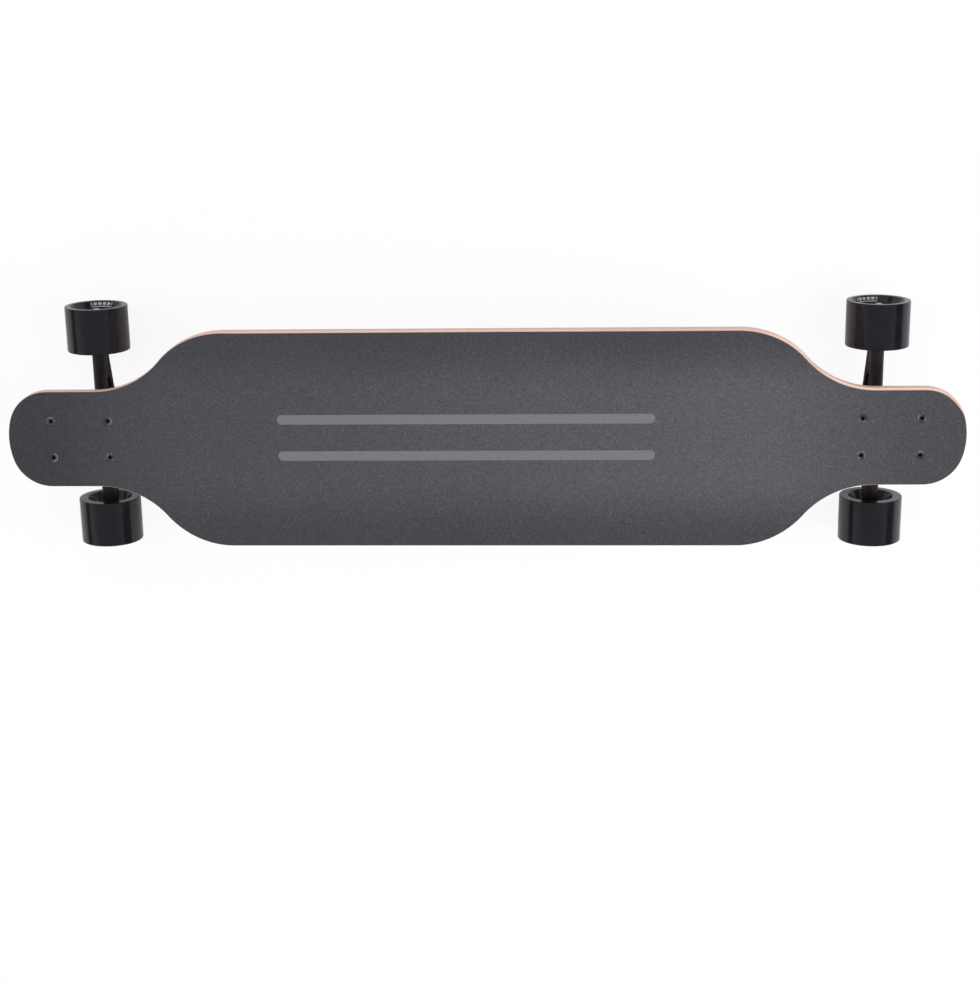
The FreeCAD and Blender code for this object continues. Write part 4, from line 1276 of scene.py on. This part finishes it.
# Both bearing tones are painted darker than bare steel, a painted shade of the wheel's deep dish.
shaded_bearing_light = (0.30, 0.30, 0.31, 1)
shaded_bearing_dark = (0.20, 0.20, 0.21, 1)
bearing_roughness = (0.12, 0.22)
bearing_scuff_share = 0.1
shield_black = (0.12, 0.12, 0.125, 1)
shield_scuffed = (0.22, 0.22, 0.225, 1)
shield_roughness = (0.3, 0.42)
shield_scuff_share = 0.05
cage_tan = (0.40, 0.33, 0.22, 1)
cage_roughness = (0.35, 0.5)
cage_scuff_share = 0.05
# Painted shade: the bearing steel is painted darker than bare steel.
bearing_steel = steel_material("bearing_steel", shaded_bearing_light, shaded_bearing_dark, bearing_roughness,
                               bearing_scuff_share)
shield_steel = steel_material("bearing_shield", shield_black, shield_scuffed, shield_roughness,
                              shield_scuff_share)
cage_steel = steel_material("bearing_cage", cage_tan, cage_tan, cage_roughness, cage_scuff_share)
far_step = bearing_width - step_depth
outer_section = rounded([(ring_shoulder, step_depth), (ring_step, step_depth), (ring_step, 0),
                         (bearing_radius, 0), (bearing_radius, bearing_width), (ring_step, bearing_width),
                         (ring_step, far_step), (ring_shoulder, far_step)],
                        [step_cut, groove_cut, step_cut, race_cut, race_cut, step_cut, groove_cut, step_cut])
inner_section = rounded([(axle_bore, 0), (inner_shoulder, 0), (inner_shoulder, bearing_width),
                         (axle_bore, bearing_width)], [race_cut, shoulder_cut, shoulder_cut, race_cut])
shield_section = rounded([(shield_inner, shield_dish), (shield_bend, 0), (shield_fold, 0),
                          (shield_outer, shield_dish), (shield_outer, shield_depth),
                          (shield_inner, shield_depth)],
                         [groove_cut, shield_cut, shield_cut, step_cut, groove_cut, groove_cut])
for end in ends:
    low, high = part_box(end + "_axle")
    hub_x, hub_z = (low.x + high.x) / 2, (low.z + high.z) / 2
    inner_rings = []
    for side, sign in sides:
        name = end + "_" + side
        outer_rings, shields = [], []
        for station in bearing_starts:
            start = (hub_x, sign * station, hub_z)
            outer_rings.append(turned(outer_section, start, (0, sign, 0), race_columns))
            inner_rings.append(turned(inner_section, start, (0, sign, 0), bore_columns))
            near = (hub_x, sign * (station + shield_recess), hub_z)
            far = (hub_x, sign * (station + bearing_width - shield_recess), hub_z)
            shields += [turned(shield_section, near, (0, sign, 0), race_columns),
                        turned(shield_section, far, (0, -sign, 0), race_columns)]
        rings = mesh_piece(name + "_outer_races", outer_rings, bearing_steel)
        stands_for(rings, name + "_wheel", name + "_bearing_outer_rings")
        covers = mesh_piece(name + "_shield_plates", shields, shield_steel)
        stands_for(covers, name + "_wheel", name + "_bearing_shields")
        frame["nodes"][name + "_bearing_balls"].material_slots[0].material = bearing_steel
        frame["nodes"][name + "_bearing_cages"].material_slots[0].material = cage_steel
    races = mesh_piece(end + "_inner_races", inner_rings, bearing_steel)
    stands_for(races, end + "_truck", end + "_bearing_inner_rings")
    frame["nodes"][end + "_bearing_spacers"].material_slots[0].material = bearing_steel

# Studio: a plain white floor under the wheels, a pale room with a dark flag on each side that shades the
# gloss of the wheels, and two large soft lights.
white = (1, 1, 1, 1)
floor_white = (0.95, 0.95, 0.95, 1)
floor_roughness = 0.8
floor_half = 6.0
seen_white_share = 0.88
seen_lift = 0.18
fade_start = 0.7
fade_end = 2.0
gloss_white_share = 0.30
floor_points = np.array([(-1, -1, 0), (1, -1, 0), (1, 1, 0), (-1, 1, 0)]) * floor_half
floor_mesh = bpy.data.meshes.new("studio_floor")
floor_mesh.from_pydata(floor_points.tolist(), [], [(0, 1, 2, 3)])
floor = placed("studio_floor", floor_mesh)


def plain_rays(tree):
    """Light Path's outputs, and the mask of rays that come from the camera or through glass."""
    path = add(tree, "LightPath", {}).outputs
    return path, maths(tree, "MAXIMUM", path["Is Camera Ray"], path["Is Transmission Ray"])


def floor_material():
    """Matt white, lifted to plain white for rays from the camera or through glass. It keeps a share of
    itself, and so of the shadow, for them, and otherwise lets them on to the white room, also where a tilted
    wheel dips below it. That share fades out away from the board. Gloss sees the floor mixed with plain
    white. From below it is clear, so that the underside can be looked at."""
    constants = {"Base Color": floor_white, "Roughness": floor_roughness}
    material, tree, shader = start_material("studio_floor", constants)
    path, plainly = plain_rays(tree)
    glow = add(tree, "Emission", {"Color": white, "Strength": 1.0}).outputs[0]
    in_gloss = maths(tree, "MULTIPLY", path["Is Glossy Ray"], gloss_white_share)
    lit = add(tree, "MixShader", {0: in_gloss, 1: shader.outputs[0], 2: glow}).outputs[0]
    lift = add(tree, "Emission", {"Strength": maths(tree, "MULTIPLY", plainly, seen_lift)}).outputs[0]
    lit = add(tree, "AddShader", {0: lit, 1: lift}).outputs[0]
    place = add(tree, "TexCoord", {}).outputs["Object"]
    away = add(tree, "VectorMath", {0: place}, operation="LENGTH").outputs["Value"]
    seen_through = spread(tree, away, fade_start, fade_end, seen_white_share, 1.0)
    behind = add(tree, "NewGeometry", {}).outputs["Backfacing"]
    clear_share = maths(tree, "MAXIMUM", maths(tree, "MULTIPLY", plainly, seen_through), behind)
    clear = add(tree, "BsdfTransparent", {}).outputs[0]
    surface = add(tree, "MixShader", {0: clear_share, 1: lit, 2: clear}).outputs[0]
    tree.links.new(surface, tree.nodes["Material Output"].inputs["Surface"])
    return material


floor_mesh.materials.append(floor_material())

room_heights = (0.1, 0.9)
room_levels = (1.0, 0.46)
flag_angles = (math.radians(57), math.radians(71))
flag_blur = 0.07
flag_share = 0.15
world = bpy.data.worlds.new("studio_room")
world.use_nodes = True
bpy.context.scene.world = world
room = world.node_tree
towards = add(room, "SeparateXYZ", {0: add(room, "TexCoord", {}).outputs["Generated"]}).outputs
level = spread(room, towards["Z"], *room_heights, *room_levels)
for angle, way in zip(flag_angles, (1, -1)):
    past = maths(room, "SUBTRACT", maths(room, "MULTIPLY", towards["X"], way * math.cos(angle)),
                 maths(room, "MULTIPLY", towards["Z"], math.sin(angle)))
    level = maths(room, "MULTIPLY", level, spread(room, past, -flag_blur, flag_blur, 1.0, flag_share))
path, plainly = plain_rays(room)
room.links.new(mixed(room, plainly, grey(room, level), white), room.nodes["Background"].inputs["Color"])
light_target = (0, 0, 0.08)


def soft_light(name, place, size, watts):
    """Rectangular area light at place, turned to the board's middle and left out of its gloss."""
    data = bpy.data.lights.new(name, "AREA")
    data.shape = "RECTANGLE"
    data.size, data.size_y = size
    data.energy = watts
    lamp = placed(name, data)
    lamp.location = place
    lamp.rotation_euler = (Vector(light_target) - Vector(place)).to_track_quat("-Z", "Y").to_euler()
    lamp.visible_glossy = False


soft_light("right_softbox", (2.3, -0.3, 1.7), (1.6, 2.4), 48.0)
soft_light("left_softbox", (-2.4, 0.5, 1.5), (1.2, 2.0), 16.0)

# Camera: above the board and towards its left rail, as the photograph was taken. Its place and turns come
# from a fit to the bolt heads, the wheels and the deck's outline.
focal_pixels = 1816.1
image_long_side = 981
sensor_width = 36.0
camera_place = Vector((0.11066, 0.48176, 2.03833))
tilt, pan, roll = math.radians(15.6605), math.radians(-3.0353), math.radians(0.9219)
camera_data = bpy.data.cameras.new("camera")
camera_data.sensor_width = sensor_width
camera_data.lens = focal_pixels * sensor_width / image_long_side
camera = placed("camera", camera_data)
world_to_camera = Matrix.Rotation(roll, 3, "Z") @ Matrix.Rotation(tilt, 3, "X") @ Matrix.Rotation(pan, 3, "Y")
camera.matrix_world = Matrix.Translation(camera_place) @ world_to_camera.transposed().to_4x4()
bpy.context.scene.camera = camera
bpy.context.scene.view_settings.view_transform = "Standard"
